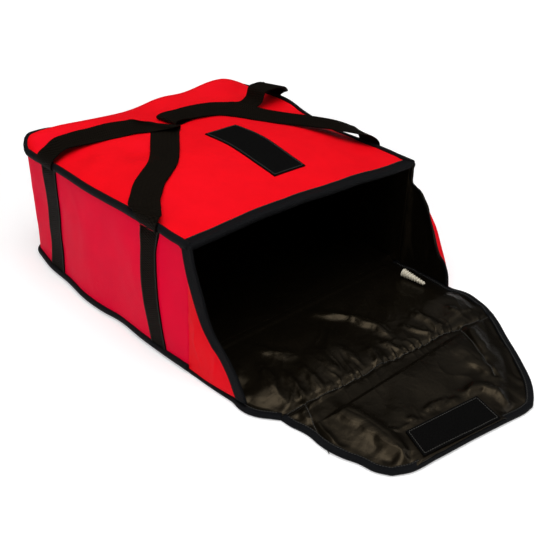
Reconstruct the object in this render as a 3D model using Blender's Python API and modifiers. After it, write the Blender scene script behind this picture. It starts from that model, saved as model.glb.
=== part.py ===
"""Insulated pizza delivery bag, open at the front, as its separate sewn pieces.

Metres, +X to the right of the mouth, +Y to the rear, +Z up. The origin is on the
floor under the centre of the body. The flap lies open on the floor in front.
"""
import math

import bmesh
import bpy
from mathutils import Vector

# Body: skins, wadding and lining
BODY_WIDTH = 0.480
BODY_DEPTH = 0.480
SEAM_HEIGHT = 0.205
CORNER_RADIUS = 0.018
WALL_BOW = 0.018
WALL_STATIONS = 19
WALL_LEVELS = 6
SKIN = 0.0008
WADDING = 0.0100
BASE_WADDING = 0.0080
LINING = 0.0006
FIT_GAP = 0.0003
MAT_THICKNESS = 0.0020
MAT_MARGIN = 0.030

# Crowned top
CROWN = 0.034
CROWN_OVER_SEAM = 0.0020
SIDE_POWER = 3.0
SHOULDER_POWER = 0.75
MOUTH_CROWN_SHARE = 0.25
FULL_CROWN_SHARE = 0.45
REAR_POWER = 14.0
REAR_SHOULDER_POWER = 0.5
REAR_SWELL = 0.032
SWELL_SHARES = (0.80, 0.88)
SWELL_REACHES = (0.40, 0.18)
SWELL_SIDE_POWER = 12.0
TOP_ROWS = 16
TOP_ROWS_BACK = 20
ROW_POWER = 1.4
BLEND_POWER = 2
BLEND_SUM = 3

# Piping and binding tape
PIPING_RADIUS = 0.0045
TAPE = 0.0007
TAPE_REACH = 0.014
EDGE_TAPE_REACH = 0.012
WING_TAPE_REACH = 0.008
WING_TAPE_TIP_REACH = 0.0020

# Flap and its tongue
HINGE_SETBACK = 0.0006
HINGE_HEIGHT = 0.0133
FOLD_CLEARANCE = 0.0002
FLAP_LENGTH = 0.206
FLAP_SKIN_HEIGHT = 0.0010
FLAP_WADDING = 0.0090
FLAP_WADDING_INSET = 0.022
TONGUE_LENGTH = 0.172
TONGUE_TIP_WIDTH = 0.250
TONGUE_CORNER_RADIUS = 0.042
TONGUE_DRAPE = 0.034
TONGUE_WADDING_INSET = 0.020

# Wings that join the flap to the sides
WING_REACH = 0.106
WING_TOP_GAP = 0.0050
WING_TOP_WIDTH = 0.0020

# Hook and loop patches
LOOP_LENGTH = 0.178
LOOP_WIDTH = 0.070
LOOP_OFFSET_X = 0.022
LOOP_FROM_MOUTH = 0.168
HOOK_LENGTH = 0.135
HOOK_WIDTH = 0.050
HOOK_FROM_TIP = 0.040
HOOK_OFFSET_X = -0.022
PATCH_THICKNESS = 0.0018

# Webbing
WEBBING_WIDTH = 0.050
WEBBING = 0.0014
FRONT_LEG_SHARE = -0.554
REAR_LEG_SHARE = 0.654
HANDLE_AXIS_RISE = 0.0010
LEG_TOP_GAP = 0.0012
HANDLE_RISE = 0.026
LIE_GAP = 0.0027
FOLD_RADIUS = 0.0032

# Ribbed sleeve of the lead
SLEEVE_LENGTH = 0.046
SLEEVE_RADIUS = 0.0074
SLEEVE_TIP_RADIUS = 0.0036
SLEEVE_RIB = 0.0009
SLEEVE_RIBS = 8
SLEEVE_BORE = 0.0030
SLEEVE_BORE_DEPTH = 0.012
SLEEVE_FROM_SIDE = 0.045
SLEEVE_FROM_HINGE = 0.0425

# Lines that follow from the sizes above
HALF_WIDTH = BODY_WIDTH / 2
HALF_DEPTH = BODY_DEPTH / 2
SANDWICH = SKIN + WADDING + LINING + 2 * FIT_GAP
PANEL_INSET = 2 * PIPING_RADIUS + FIT_GAP
TOP_EDGE = SEAM_HEIGHT + CROWN_OVER_SEAM
WALL_TOP = TOP_EDGE - SANDWICH - TAPE - 2 * FIT_GAP
BASE_FOAM_Z = SKIN + FIT_GAP
MAT_Z = BASE_FOAM_Z + BASE_WADDING + FIT_GAP
BASE_LINING_Z = MAT_Z + MAT_THICKNESS + FIT_GAP
WALL_FOOT = BASE_LINING_Z + LINING + FIT_GAP
SKIN_FOOT = 2 * PIPING_RADIUS + FIT_GAP
SKIN_TOP = SEAM_HEIGHT - PIPING_RADIUS - FIT_GAP
HINGE_Y = -HALF_DEPTH - HINGE_SETBACK
FLAP_REAR = HINGE_Y - FOLD_CLEARANCE
CREASE_Y = HINGE_Y - FLAP_LENGTH
FLAP_FRONT = CREASE_Y + FOLD_CLEARANCE
TONGUE_REAR = CREASE_Y - FOLD_CLEARANCE
TONGUE_TIP = CREASE_Y - TONGUE_LENGTH
FLAP_HALF = HALF_WIDTH - TAPE - FIT_GAP - SKIN
FLAP_FOAM_Z = FLAP_SKIN_HEIGHT + SKIN + FIT_GAP
FLAP_LINING_Z = FLAP_FOAM_Z + FLAP_WADDING + FIT_GAP
FLAP_TOP = FLAP_LINING_Z + LINING
FLAP_TAPE_TOP = FLAP_TOP + FIT_GAP + TAPE
STRAP_X = HALF_WIDTH + FIT_GAP + WEBBING / 2
AXIS_X = STRAP_X + WEBBING / 2 + FIT_GAP
AXIS_Z = SEAM_HEIGHT + HANDLE_AXIS_RISE
HALF_WEB = WEBBING_WIDTH / 2
FRONT_LEG_Y = FRONT_LEG_SHARE * HALF_DEPTH
REAR_LEG_Y = REAR_LEG_SHARE * HALF_DEPTH
LOOP_CENTRE_Y = LOOP_FROM_MOUTH - HALF_DEPTH
SLEEVE_X = HALF_WIDTH - SLEEVE_FROM_SIDE

# Handle routes, as shares of the half width, half depth and handle rise, then
# the slant of the webbing's cross line and its lean off the top in degrees
LEFT_ROUTE_SHARES = (
    (-0.960, 0.654, 0.48, 0, 0),
    (-0.890, 0.654, 0.57, 0, 4),
    (-0.790, 0.645, 0.36, 1, 7),
    (-0.660, 0.625, 0.22, 2, 9),
    (-0.520, 0.595, 0.14, 5, 9),
    (-0.390, 0.550, 0.10, 12, 5),
)
LEFT_FOLD_SHARES = (-0.160, 0.400, 38, 1.12)
LEFT_RETURN_SHARES = (
    (-0.306, 0.208, 0.00, 45, 0),
    (-0.450, 0.000, 0.00, 45, 0),
    (-0.580, -0.150, 0.00, 45, 0),
    (-0.677, -0.222, 0.00, 45, 0),
    (-0.773, -0.288, 0.02, 43, 0),
    (-0.858, -0.375, 0.06, 39, 0),
    (-0.923, -0.446, 0.16, 30, 0),
    (-0.972, -0.515, 0.30, 12, 0),
)
RIGHT_ROUTE_SHARES = (
    (0.970, -0.540, 0.68, -8, 0),
    (0.920, -0.480, 0.70, -24, 0),
    (0.840, -0.360, 0.60, -46, 2),
    (0.735, -0.185, 0.34, -57, 6),
    (0.625, -0.020, 0.30, -60, 8),
    (0.530, 0.150, 0.32, -57, 9),
    (0.440, 0.310, 0.32, -43, 10),
    (0.320, 0.430, 0.26, -24, 9),
    (0.160, 0.490, 0.24, -10, 6),
    (0.010, 0.520, 0.24, -3, 2),
)
RIGHT_FOLD_SHARES = (-0.140, 0.540, 0, 1.00)
RIGHT_RETURN_SHARES = (
    (0.020, 0.550, 0.00, 0, 0),
    (0.220, 0.565, 0.00, 2, 0),
    (0.420, 0.575, 0.07, -3, 0),
    (0.590, 0.555, 0.20, -8, 0),
    (0.740, 0.510, 0.72, -10, 0),
    (0.860, 0.480, 1.42, -4, 0),
    (0.950, 0.530, 1.46, 8, 0),
)
BASE_RISE_SHARE = 0.48
FOLD_STEPS = 5


def start():
    """An empty scene with one collection for the bag and one for its cutters."""
    for obj in list(bpy.data.objects):
        bpy.data.objects.remove(obj)
    bag = bpy.data.collections.new("pizza_delivery_bag")
    cutters = bpy.data.collections.new("cutters")
    cutters.hide_render = True
    for group in (bag, cutters):
        bpy.context.scene.collection.children.link(group)
    return bag, cutters


BAG, CUTTERS = start()


def material(name, colour, roughness):
    made = bpy.data.materials.new(name)
    made.use_nodes = True
    shader = made.node_tree.nodes["Principled BSDF"]
    shader.inputs["Base Color"].default_value = (*colour, 1.0)
    shader.inputs["Roughness"].default_value = roughness
    made.diffuse_color = (*colour, 1.0)
    return made


RED = material("red_fabric", (0.78, 0.01, 0.015), 0.75)
LINING_CLOTH = material("black_lining", (0.012, 0.010, 0.009), 0.35)
WADDING_FOAM = material("grey_wadding", (0.55, 0.55, 0.53), 0.95)
TAPE_CLOTH = material("black_tape", (0.012, 0.012, 0.016), 0.70)
WEB_CLOTH = material("black_webbing", (0.016, 0.015, 0.011), 0.80)
HOOK_CLOTH = material("black_hook_and_loop", (0.006, 0.006, 0.006), 0.95)
SLEEVE_PLASTIC = material("cream_plastic", (0.72, 0.68, 0.58), 0.50)
MAT_CLOTH = material("grey_heating_mat", (0.25, 0.25, 0.27), 0.80)


def axis_empty(name, place, parent=None):
    empty = bpy.data.objects.new(name, None)
    empty.empty_display_size = WEBBING_WIDTH
    empty.location = place
    if parent:
        empty.parent = parent
        empty.location = Vector(place) - parent.matrix_world.translation
    BAG.objects.link(empty)
    bpy.context.view_layer.update()
    return empty


FLAP = axis_empty("flap_hinge_axis", (0, HINGE_Y, HINGE_HEIGHT))
TONGUE = axis_empty("tongue_fold_axis", (0, CREASE_Y, HINGE_HEIGHT), FLAP)
HANDLE_Y = (FRONT_LEG_Y + REAR_LEG_Y) / 2
LEFT_HANDLE = axis_empty("left_handle_axis", (-AXIS_X, HANDLE_Y, AXIS_Z))
RIGHT_HANDLE = axis_empty("right_handle_axis", (AXIS_X, HANDLE_Y, AXIS_Z))


def piece(name, mesh, surface, parent=None, smooth=False, hidden=False):
    """An object for this mesh, carried by the empty on its joint's axis."""
    obj = bpy.data.objects.new(name, mesh)
    mesh.materials.clear()
    mesh.materials.append(surface)
    for face in mesh.polygons:
        face.use_smooth = smooth
    (CUTTERS if hidden else BAG).objects.link(obj)
    if hidden:
        obj.hide_render = True
        obj.display_type = "WIRE"
    if parent:
        obj.parent = parent
        obj.matrix_parent_inverse = parent.matrix_world.inverted()
    return obj


def outline_mesh(name, outline, thickness):
    """A flat outline, filled and extruded to this thickness about its own plane."""
    curve = bpy.data.curves.new(name, "CURVE")
    curve.dimensions = "2D"
    curve.fill_mode = "BOTH"
    curve.extrude = thickness / 2
    line = curve.splines.new("POLY")
    line.points.add(len(outline) - 1)
    for point, (x, y) in zip(line.points, outline):
        point.co = (x, y, 0, 1)
    line.use_cyclic_u = True
    return mesh_of(curve)


def mesh_of(curve):
    carrier = bpy.data.objects.new(curve.name, curve)
    bpy.context.scene.collection.objects.link(carrier)
    graph = bpy.context.evaluated_depsgraph_get()
    mesh = bpy.data.meshes.new_from_object(carrier.evaluated_get(graph))
    bpy.data.objects.remove(carrier)
    shape = bmesh.new()
    shape.from_mesh(mesh)
    bmesh.ops.remove_doubles(shape, verts=shape.verts, dist=TAPE / 50)
    bmesh.ops.recalc_face_normals(shape, faces=shape.faces)
    shape.to_mesh(mesh)
    shape.free()
    return mesh


def flat_panel(name, outline, low, thickness, surface, parent=None):
    obj = piece(name, outline_mesh(name, outline, thickness), surface, parent)
    obj.location.z = low + thickness / 2
    return obj


def side_panel(name, outline, low, thickness, surface):
    """A flat panel in the YZ plane, from x = low to low + thickness."""
    obj = piece(name, outline_mesh(name, outline, thickness), surface)
    obj.rotation_euler = (math.pi / 2, 0, math.pi / 2)
    obj.location.x = low + thickness / 2
    return obj


def loft(name, sections, surface, parent=None, smooth=False):
    """A closed body through sections that all have the same number of points."""
    count = len(sections[0])
    points = [point for section in sections for point in section]
    faces = [list(range(count)), [len(points) - 1 - i for i in range(count)]]
    for row in range(len(sections) - 1):
        for i in range(count):
            first, second = row * count + i, row * count + (i + 1) % count
            faces.append([first, second, second + count, first + count])
    mesh = bpy.data.meshes.new(name)
    mesh.from_pydata([tuple(p) for p in points], [], faces)
    shape = bmesh.new()
    shape.from_mesh(mesh)
    bmesh.ops.recalc_face_normals(shape, faces=shape.faces)
    shape.to_mesh(mesh)
    shape.free()
    return piece(name, mesh, surface, parent, smooth)


def channel(name, edge, inwards, up, low, high, reaches, surface, parent=None):
    """Folded tape round a sandwich's edge: low and high are its faces along up."""
    sections = []
    for point, inward, reach in zip(edge, inwards, reaches):
        outer, inner = -FIT_GAP - TAPE, -FIT_GAP
        bottom, top = low - FIT_GAP - TAPE, high + FIT_GAP + TAPE
        corners = (
            (outer, bottom),
            (reach, bottom),
            (reach, bottom + TAPE),
            (inner, bottom + TAPE),
            (inner, top - TAPE),
            (reach, top - TAPE),
            (reach, top),
            (outer, top),
        )
        sections.append([point + inward * a + up * h for a, h in corners])
    return loft(name, sections, surface, parent)


def cord(name, route, radius, surface):
    """A round piping cord along this open route."""
    curve = bpy.data.curves.new(name, "CURVE")
    curve.dimensions = "3D"
    curve.bevel_depth = radius
    curve.bevel_resolution = 1
    curve.use_fill_caps = True
    line = curve.splines.new("POLY")
    line.points.add(len(route) - 1)
    for point, place in zip(line.points, route):
        point.co = (*place, 1)
    return piece(name, mesh_of(curve), surface, smooth=True)


def bulge(share):
    return 1 - share * share


def bow_at(z):
    """How far a wall stands out at this height: most at the floor, none at the seam."""
    return WALL_BOW * max(0.0, 1 - (z / SEAM_HEIGHT) ** 2)


def wall_point(side, along, inset, bow):
    """Plan point of a wall face. Along is y on the left and right, and x at the rear."""
    if side == "rear":
        share = along / (HALF_WIDTH - CORNER_RADIUS)
        return along, HALF_DEPTH - inset + bow * bulge(share)
    middle = -CORNER_RADIUS / 2
    share = (along - middle) / (HALF_DEPTH - CORNER_RADIUS / 2)
    out = HALF_WIDTH - inset + bow * bulge(min(1.0, abs(share)))
    return (-out if side == "left" else out), along


def spaced(first, last, count):
    return [first + (last - first) * i / (count - 1) for i in range(count)]


def wall_line(side, first, last, inset, bow):
    return [
        wall_point(side, a, inset, bow) for a in spaced(first, last, WALL_STATIONS)
    ]


def side_line(side, inset, bow, front):
    """A side wall from the mouth to its rear corner, on the stations all layers share."""
    line = wall_line(side, -HALF_DEPTH, HALF_DEPTH - CORNER_RADIUS, inset, bow)
    return [(line[0][0], front), *line[1:]]


def corner_line(sign, inset, count):
    """Rear corner arc, from the side wall to the rear wall on the left (sign -1)."""
    radius = CORNER_RADIUS - inset
    middle = (sign * (HALF_WIDTH - CORNER_RADIUS), HALF_DEPTH - CORNER_RADIUS)
    turns = [math.pi / 2 * i / count for i in range(1, count)]
    return [
        (
            middle[0] + sign * radius * math.cos(turn),
            middle[1] + radius * math.sin(turn),
        )
        for turn in turns
    ]


def body_line(inset, bow, front):
    """Plan line of the whole band: left wall, rear wall, right wall."""
    rear_x = HALF_WIDTH - CORNER_RADIUS
    left = side_line("left", inset, bow, front)
    right = side_line("right", inset, bow, front)[::-1]
    rear = wall_line("rear", -rear_x, rear_x, inset, bow)
    arc = corner_line(-1, inset, 5)
    back = [(-x, y) for x, y in reversed(arc)]
    return left + arc + rear + back + right


def wall_sheet(name, line_at, thickness, foot, head, surface):
    """A wall layer: plan lines at several heights, skinned and given its thickness."""
    levels = [foot, *spaced(WALL_FOOT, WALL_TOP, WALL_LEVELS)[1:-1], head]
    rows = [[(*point, z) for point in line_at(bow_at(z))] for z in levels]
    count = len(rows[0])
    faces = []
    for row in range(len(rows) - 1):
        for i in range(count - 1):
            first = row * count + i
            faces.append([first, first + 1, first + 1 + count, first + count])
    mesh = bpy.data.meshes.new(name)
    mesh.from_pydata([point for row in rows for point in row], [], faces)
    obj = piece(name, mesh, surface)
    solid = obj.modifiers.new("thickness", "SOLIDIFY")
    solid.thickness = thickness
    solid.offset = 0
    solid.use_even_offset = True
    return obj


def swell(x, y):
    """Height of the higher puff at the right of the rear seam."""
    across = (x / HALF_WIDTH - SWELL_SHARES[0]) / SWELL_REACHES[0]
    along = (y / HALF_DEPTH - SWELL_SHARES[1]) / SWELL_REACHES[1]
    rim = (1 - min(1.0, abs(x) / HALF_WIDTH) ** SWELL_SIDE_POWER) ** REAR_SHOULDER_POWER
    return REAR_SWELL * rim * math.exp(-across * across - along * along)


def crown(x, y):
    """Height of the puffed top over its edge."""
    across = min(1.0, abs(x) / HALF_WIDTH)
    side = (1 - across**SIDE_POWER) ** SHOULDER_POWER
    along = min(1.0, max(0.0, (y + HALF_DEPTH) / BODY_DEPTH))
    rear = (1 - max(0.0, 2 * along - 1) ** REAR_POWER) ** REAR_SHOULDER_POWER
    step = min(1.0, along / FULL_CROWN_SHARE)
    ease = step**BLEND_POWER * (BLEND_SUM - BLEND_POWER * step)
    front = MOUTH_CROWN_SHARE + (1 - MOUTH_CROWN_SHARE) * ease
    return (CROWN * side * front + swell(x, y)) * rear


def top_z(x, y):
    return TOP_EDGE + crown(x, y)


def crowned_layer(name, outline, drop, thickness, surface):
    """A layer of the top: a crowned slab, cut to its outline."""
    margin = CORNER_RADIUS / 8
    xs = [x for x, _ in outline]
    ys = [y for _, y in outline]
    across = spaced(min(xs) - margin, max(xs) + margin, TOP_ROWS)
    front, back = min(ys) - margin, max(ys) + margin
    along = [back + (front - back) * s**ROW_POWER for s in spaced(1, 0, TOP_ROWS_BACK)]
    shape = bmesh.new()
    grid = [
        [shape.verts.new((x, y, top_z(x, y) - drop)) for x in across] for y in along
    ]
    for row, following in zip(grid, grid[1:]):
        for i in range(len(row) - 1):
            shape.faces.new((row[i], row[i + 1], following[i + 1]))
            shape.faces.new((row[i], following[i + 1], following[i]))
    upper = list(shape.faces)
    under = bmesh.ops.extrude_face_region(shape, geom=upper)
    moved = [v for v in under["geom"] if isinstance(v, bmesh.types.BMVert)]
    bmesh.ops.translate(shape, verts=moved, vec=(0, 0, -thickness))
    bmesh.ops.recalc_face_normals(shape, faces=shape.faces)
    mesh = bpy.data.meshes.new(name)
    shape.to_mesh(mesh)
    shape.free()
    obj = piece(name, mesh, surface, smooth=True)
    prism = outline_mesh(name + "_outline", outline, 2 * BODY_DEPTH)
    cutter = piece(name + "_outline", prism, surface, hidden=True)
    cut = obj.modifiers.new("outline", "BOOLEAN")
    cut.operation = "INTERSECT"
    cut.solver = "EXACT"
    cut.object = cutter
    return obj


def rounded(corners, radii, inset):
    """A convex outline, listed anticlockwise, moved in by inset, with round corners."""
    count = len(corners)
    lines = []
    for i in range(count):
        here, there = Vector(corners[i]), Vector(corners[(i + 1) % count])
        run = (there - here).normalized()
        lines.append((here + Vector((-run.y, run.x)) * inset, run))
    points = []
    for i in range(count):
        before, run_in = lines[i - 1]
        after, run_out = lines[i]
        turn = run_in.x * run_out.y - run_in.y * run_out.x
        gap = after - before
        corner = before + run_in * (gap.x * run_out.y - gap.y * run_out.x) / turn
        radius = max(0.0, radii[i] - inset)
        if radius == 0:
            points.append(tuple(corner))
            continue
        angle = math.acos(max(-1.0, min(1.0, run_in.dot(run_out))))
        back = radius * math.tan(angle / 2)
        centre = corner - run_in * back + Vector((-run_in.y, run_in.x)) * radius
        first = math.atan2(-run_in.x, run_in.y)
        for step in range(7):
            turned = first + angle * step / 6
            spot = centre + Vector((math.cos(turned), math.sin(turned))) * radius
            points.append(tuple(spot))
    return points


def box_outline(left, right, front, rear):
    return [(left, front), (right, front), (right, rear), (left, rear)]


def build_body():
    base = body_line(PANEL_INSET, WALL_BOW, -HALF_DEPTH + FIT_GAP)
    flat_panel("base_outer", base, 0, SKIN, RED)
    flat_panel("base_wadding", base, BASE_FOAM_Z, BASE_WADDING, WADDING_FOAM)
    mat_x = HALF_WIDTH - MAT_MARGIN
    mat_y = HALF_DEPTH - MAT_MARGIN
    mat_box = box_outline(-mat_x, mat_x, -mat_y, mat_y)
    mat_line = rounded(mat_box, [CORNER_RADIUS] * len(mat_box), 0)
    flat_panel("heating_mat", mat_line, MAT_Z, MAT_THICKNESS, MAT_CLOTH)
    flat_panel("base_lining", base, BASE_LINING_Z, LINING, LINING_CLOTH)

    wall_sheet(
        "band_outer",
        lambda bow: body_line(SKIN / 2, bow, -HALF_DEPTH),
        SKIN,
        SKIN_FOOT,
        SKIN_TOP,
        RED,
    )
    foam_inset = SKIN + FIT_GAP + WADDING / 2
    foam_front = -HALF_DEPTH + SKIN + FIT_GAP + LINING
    rear_x = HALF_WIDTH - CORNER_RADIUS
    foam = (WADDING, WALL_FOOT, WALL_TOP, WADDING_FOAM)
    wall_sheet(
        "left_wall_wadding",
        lambda bow: side_line("left", foam_inset, bow, foam_front),
        *foam,
    )
    wall_sheet(
        "right_wall_wadding",
        lambda bow: side_line("right", foam_inset, bow, foam_front)[::-1],
        *foam,
    )
    wall_sheet(
        "rear_wall_wadding",
        lambda bow: wall_line("rear", -rear_x, rear_x, foam_inset, bow),
        *foam,
    )
    lining_inset = SANDWICH - LINING / 2
    lip = SKIN + FIT_GAP + LINING / 2

    def lining_line(bow):
        front = -HALF_DEPTH + LINING / 2
        line = body_line(lining_inset, bow, front)
        return [(-HALF_WIDTH + lip, front), *line, (HALF_WIDTH - lip, front)]

    wall_sheet("band_lining", lining_line, LINING, WALL_FOOT, WALL_TOP, LINING_CLOTH)

    panel = body_line(PANEL_INSET, 0, -HALF_DEPTH + FIT_GAP + TAPE)
    crowned_layer("top_outer", panel, 0, SKIN, RED)
    drop = SKIN + FIT_GAP
    crowned_layer("top_wadding", panel, drop, WADDING, WADDING_FOAM)
    drop += WADDING + FIT_GAP
    crowned_layer("top_lining", panel, drop, LINING, LINING_CLOTH)

    for name, height, bow in (
        ("top_piping", SEAM_HEIGHT, 0),
        ("bottom_piping", PIPING_RADIUS, WALL_BOW),
    ):
        line = body_line(PIPING_RADIUS, bow, -HALF_DEPTH)
        route = [(x, y, height) for x, y in line]
        cord(name, route, PIPING_RADIUS, TAPE_CLOTH)

    mouth = spaced(PANEL_INSET - HALF_WIDTH, HALF_WIDTH - PANEL_INSET, 25)
    front = -HALF_DEPTH + FIT_GAP + TAPE
    edge = [Vector((x, front, crown(x, front))) for x in mouth]
    channel(
        "mouth_top_binding",
        edge,
        [Vector((0, 1, 0))] * len(edge),
        Vector((0, 0, 1)),
        TOP_EDGE - SANDWICH,
        TOP_EDGE + SKIN,
        [TAPE_REACH] * len(edge),
        TAPE_CLOTH,
    )


def build_wings():
    rear = -HALF_DEPTH - FIT_GAP
    foot = FLAP_TAPE_TOP + FIT_GAP
    head = SEAM_HEIGHT - WING_TOP_GAP
    tip = rear - WING_REACH
    outline = [(rear, foot), (rear, head), (rear - WING_TOP_WIDTH, head), (tip, foot)]
    high, low = Vector((0, rear - WING_TOP_WIDTH, head)), Vector((0, tip, foot))
    run = (low - high).normalized()
    inward = Vector((0, -run.z, run.y))
    shares = spaced(0, 1, 9)
    start_share = 0.02
    end_share = 0.965
    for side, sign in (("left", -1), ("right", 1)):
        outer = sign * HALF_WIDTH
        inner = outer - sign * (SKIN + FIT_GAP + LINING)
        low_x = min(outer, outer - sign * SKIN)
        side_panel(side + "_wing_outer", outline, low_x, SKIN, RED)
        low_x = min(inner, inner + sign * LINING)
        side_panel(side + "_wing_lining", outline, low_x, LINING, LINING_CLOTH)
        edge = []
        reaches = []
        for share in shares:
            along = start_share + (end_share - start_share) * share
            point = high + (low - high) * along
            edge.append(Vector((0, point.y, point.z)))
            opened = min(1.0, share * 4)
            more = (WING_TAPE_REACH - WING_TAPE_TIP_REACH) * opened
            reaches.append(WING_TAPE_TIP_REACH + more)
        channel(
            side + "_wing_binding",
            edge,
            [inward] * len(edge),
            Vector((1, 0, 0)),
            min(outer, inner),
            max(outer, inner),
            reaches,
            TAPE_CLOTH,
        )


def build_flap():
    front = box_outline(-FLAP_HALF, FLAP_HALF, FLAP_FRONT, FLAP_REAR)
    inner = FLAP_HALF - FLAP_WADDING_INSET
    core = box_outline(-inner, inner, FLAP_FRONT, FLAP_REAR)
    flat_panel("flap_outer", front, FLAP_SKIN_HEIGHT, SKIN, RED, FLAP)
    flat_panel("flap_wadding", core, FLAP_FOAM_Z, FLAP_WADDING, WADDING_FOAM, FLAP)
    flat_panel("flap_lining", front, FLAP_LINING_Z, LINING, LINING_CLOTH, FLAP)
    for side, sign in (("left", -1), ("right", 1)):
        ends = (FLAP_REAR, FLAP_FRONT)
        channel(
            "flap_" + side + "_binding",
            [Vector((sign * FLAP_HALF, y, 0)) for y in ends],
            [Vector((-sign, 0, 0))] * 2,
            Vector((0, 0, 1)),
            FLAP_SKIN_HEIGHT,
            FLAP_TOP,
            [EDGE_TAPE_REACH] * 2,
            TAPE_CLOTH,
            FLAP,
        )


def build_tongue():
    half_tip = TONGUE_TIP_WIDTH / 2
    corners = [
        (-FLAP_HALF, TONGUE_REAR),
        (-half_tip - TONGUE_DRAPE, TONGUE_TIP),
        (half_tip - TONGUE_DRAPE, TONGUE_TIP),
        (FLAP_HALF, TONGUE_REAR),
    ]
    radii = (0, TONGUE_CORNER_RADIUS, TONGUE_CORNER_RADIUS, 0)
    whole = rounded(corners, radii, 0)
    core = rounded(corners, radii, TONGUE_WADDING_INSET)
    flat_panel("tongue_outer", whole, FLAP_SKIN_HEIGHT, SKIN, RED, TONGUE)
    flat_panel("tongue_wadding", core, FLAP_FOAM_Z, FLAP_WADDING, WADDING_FOAM, TONGUE)
    flat_panel("tongue_lining", whole, FLAP_LINING_Z, LINING, LINING_CLOTH, TONGUE)
    edge = [Vector((x, y, 0)) for x, y in whole]
    inwards = []
    for i, point in enumerate(edge):
        before = edge[max(0, i - 1)]
        after = edge[min(len(edge) - 1, i + 1)]
        run = (after - before).normalized()
        inwards.append(Vector((-run.y, run.x, 0)))
    inwards[0] = Vector((1 / inwards[0].x, 0, 0))
    inwards[-1] = Vector((1 / inwards[-1].x, 0, 0))
    channel(
        "tongue_binding",
        edge,
        inwards,
        Vector((0, 0, 1)),
        FLAP_SKIN_HEIGHT,
        FLAP_TOP,
        [EDGE_TAPE_REACH] * len(edge),
        TAPE_CLOTH,
        TONGUE,
    )


def build_patches():
    outline = box_outline(
        LOOP_OFFSET_X - LOOP_WIDTH / 2,
        LOOP_OFFSET_X + LOOP_WIDTH / 2,
        LOOP_CENTRE_Y - LOOP_LENGTH / 2,
        LOOP_CENTRE_Y + LOOP_LENGTH / 2,
    )
    lift = PATCH_THICKNESS + 2 * FIT_GAP
    crowned_layer("loop_patch", outline, -lift, PATCH_THICKNESS, HOOK_CLOTH)
    middle = HOOK_OFFSET_X
    rear = TONGUE_TIP + HOOK_FROM_TIP + HOOK_WIDTH / 2
    outline = box_outline(
        middle - HOOK_LENGTH / 2,
        middle + HOOK_LENGTH / 2,
        rear - HOOK_WIDTH,
        rear,
    )
    height = FLAP_TOP + FIT_GAP
    flat_panel("hook_patch", outline, height, PATCH_THICKNESS, HOOK_CLOTH, TONGUE)


def build_legs():
    inset = -FIT_GAP - WEBBING / 2
    for side, sign in (("left", 1), ("right", -1)):
        for place, middle in (("front", FRONT_LEG_Y), ("rear", REAR_LEG_Y)):
            ends = (middle - HALF_WEB * sign, middle + HALF_WEB * sign)
            wall_sheet(
                side + "_" + place + "_webbing_leg",
                lambda bow: wall_line(side, *ends, inset, bow)[::6],
                WEBBING,
                SKIN_FOOT,
                AXIS_Z - LEG_TOP_GAP,
                WEB_CLOTH,
            )


def station(x, y, z, slant, stretch, lying=0, lean=0):
    """Middle of the webbing and its half cross line, tilted to the top it lies on."""
    turn = math.radians(slant)
    half = Vector((-math.sin(turn), math.cos(turn), 0)) * HALF_WEB * stretch
    slope = top_z(x + half.x, y + half.y) - top_z(x - half.x, y - half.y)
    half.z = lying * slope / 2 + HALF_WEB * math.sin(math.radians(lean))
    return Vector((x, y, z)), half


def placed(row):
    x_share, y_share, rise_share, slant, lean = row
    x, y = x_share * HALF_WIDTH, y_share * HALF_DEPTH
    z = top_z(x, y) + LIE_GAP + rise_share * HANDLE_RISE
    return station(x, y, z, slant, 1, max(0.0, 1 - rise_share), lean)


def fold(row, heading, rising):
    """The webbing doubled back on itself about a slanted crease."""
    x, y = row[0] * HALF_WIDTH, row[1] * HALF_DEPTH
    slant, stretch = row[2], row[3]
    turn = math.radians(slant)
    out = Vector((math.cos(turn), math.sin(turn), 0)) * heading
    low = top_z(x, y) + LIE_GAP
    made = []
    for step in range(FOLD_STEPS):
        angle = math.pi * (step / (FOLD_STEPS - 1) - 1 / 2) * rising
        away = out * FOLD_RADIUS * (math.cos(angle) - 1)
        z = low + FOLD_RADIUS * (1 + math.sin(angle))
        made.append(station(x + away.x, y + away.y, z, slant, stretch, 1))
    return made


def handle_stations(first_y, route, fold_row, back, last_y, sign, rising):
    """From one leg up over the edge, along the top, round the fold and back."""
    risen = AXIS_Z + BASE_RISE_SHARE * HANDLE_RISE
    x = sign * STRAP_X
    rows = [station(x, first_y, AXIS_Z, 0, 1), station(x, first_y, risen, 0, 1)]
    rows += [placed(row) for row in route]
    rows += fold(fold_row, -sign, rising)
    rows += [placed(row) for row in back]
    rows += [station(x, last_y, risen, 0, 1), station(x, last_y, AXIS_Z, 0, 1)]
    return rows


def between(points, i, share):
    """Catmull-Rom point on span i of these points."""
    a = points[max(0, i - 1)]
    b = points[i]
    c = points[i + 1]
    d = points[min(len(points) - 1, i + 2)]
    u = share
    return (
        b * 2
        + (c - a) * u
        + (a * 2 - b * 5 + c * 4 - d) * u * u
        + (b * 3 - a - c * 3 + d) * u * u * u
    ) / 2


def handle(name, rows, parent):
    """A ribbon of webbing through these stations, its thickness square to its face."""
    centres = [row[0] for row in rows]
    halves = [row[1] for row in rows]
    spans = len(rows) - 1
    steps = [(i, k / 3) for i in range(spans) for k in range(3)] + [(spans - 1, 1)]
    path = [between(centres, i, share) for i, share in steps]
    wide = [between(halves, i, share) for i, share in steps]
    sections = []
    for i, (centre, half) in enumerate(zip(path, wide)):
        run = path[min(len(path) - 1, i + 1)] - path[max(0, i - 1)]
        if i in (0, len(path) - 1):
            run = Vector((0, 0, run.z))
        face = run.cross(half).normalized() * WEBBING / 2
        sections.append(
            [
                centre - half - face,
                centre + half - face,
                centre + half + face,
                centre - half + face,
            ]
        )
    loft(name, sections, WEB_CLOTH, parent)


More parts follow.
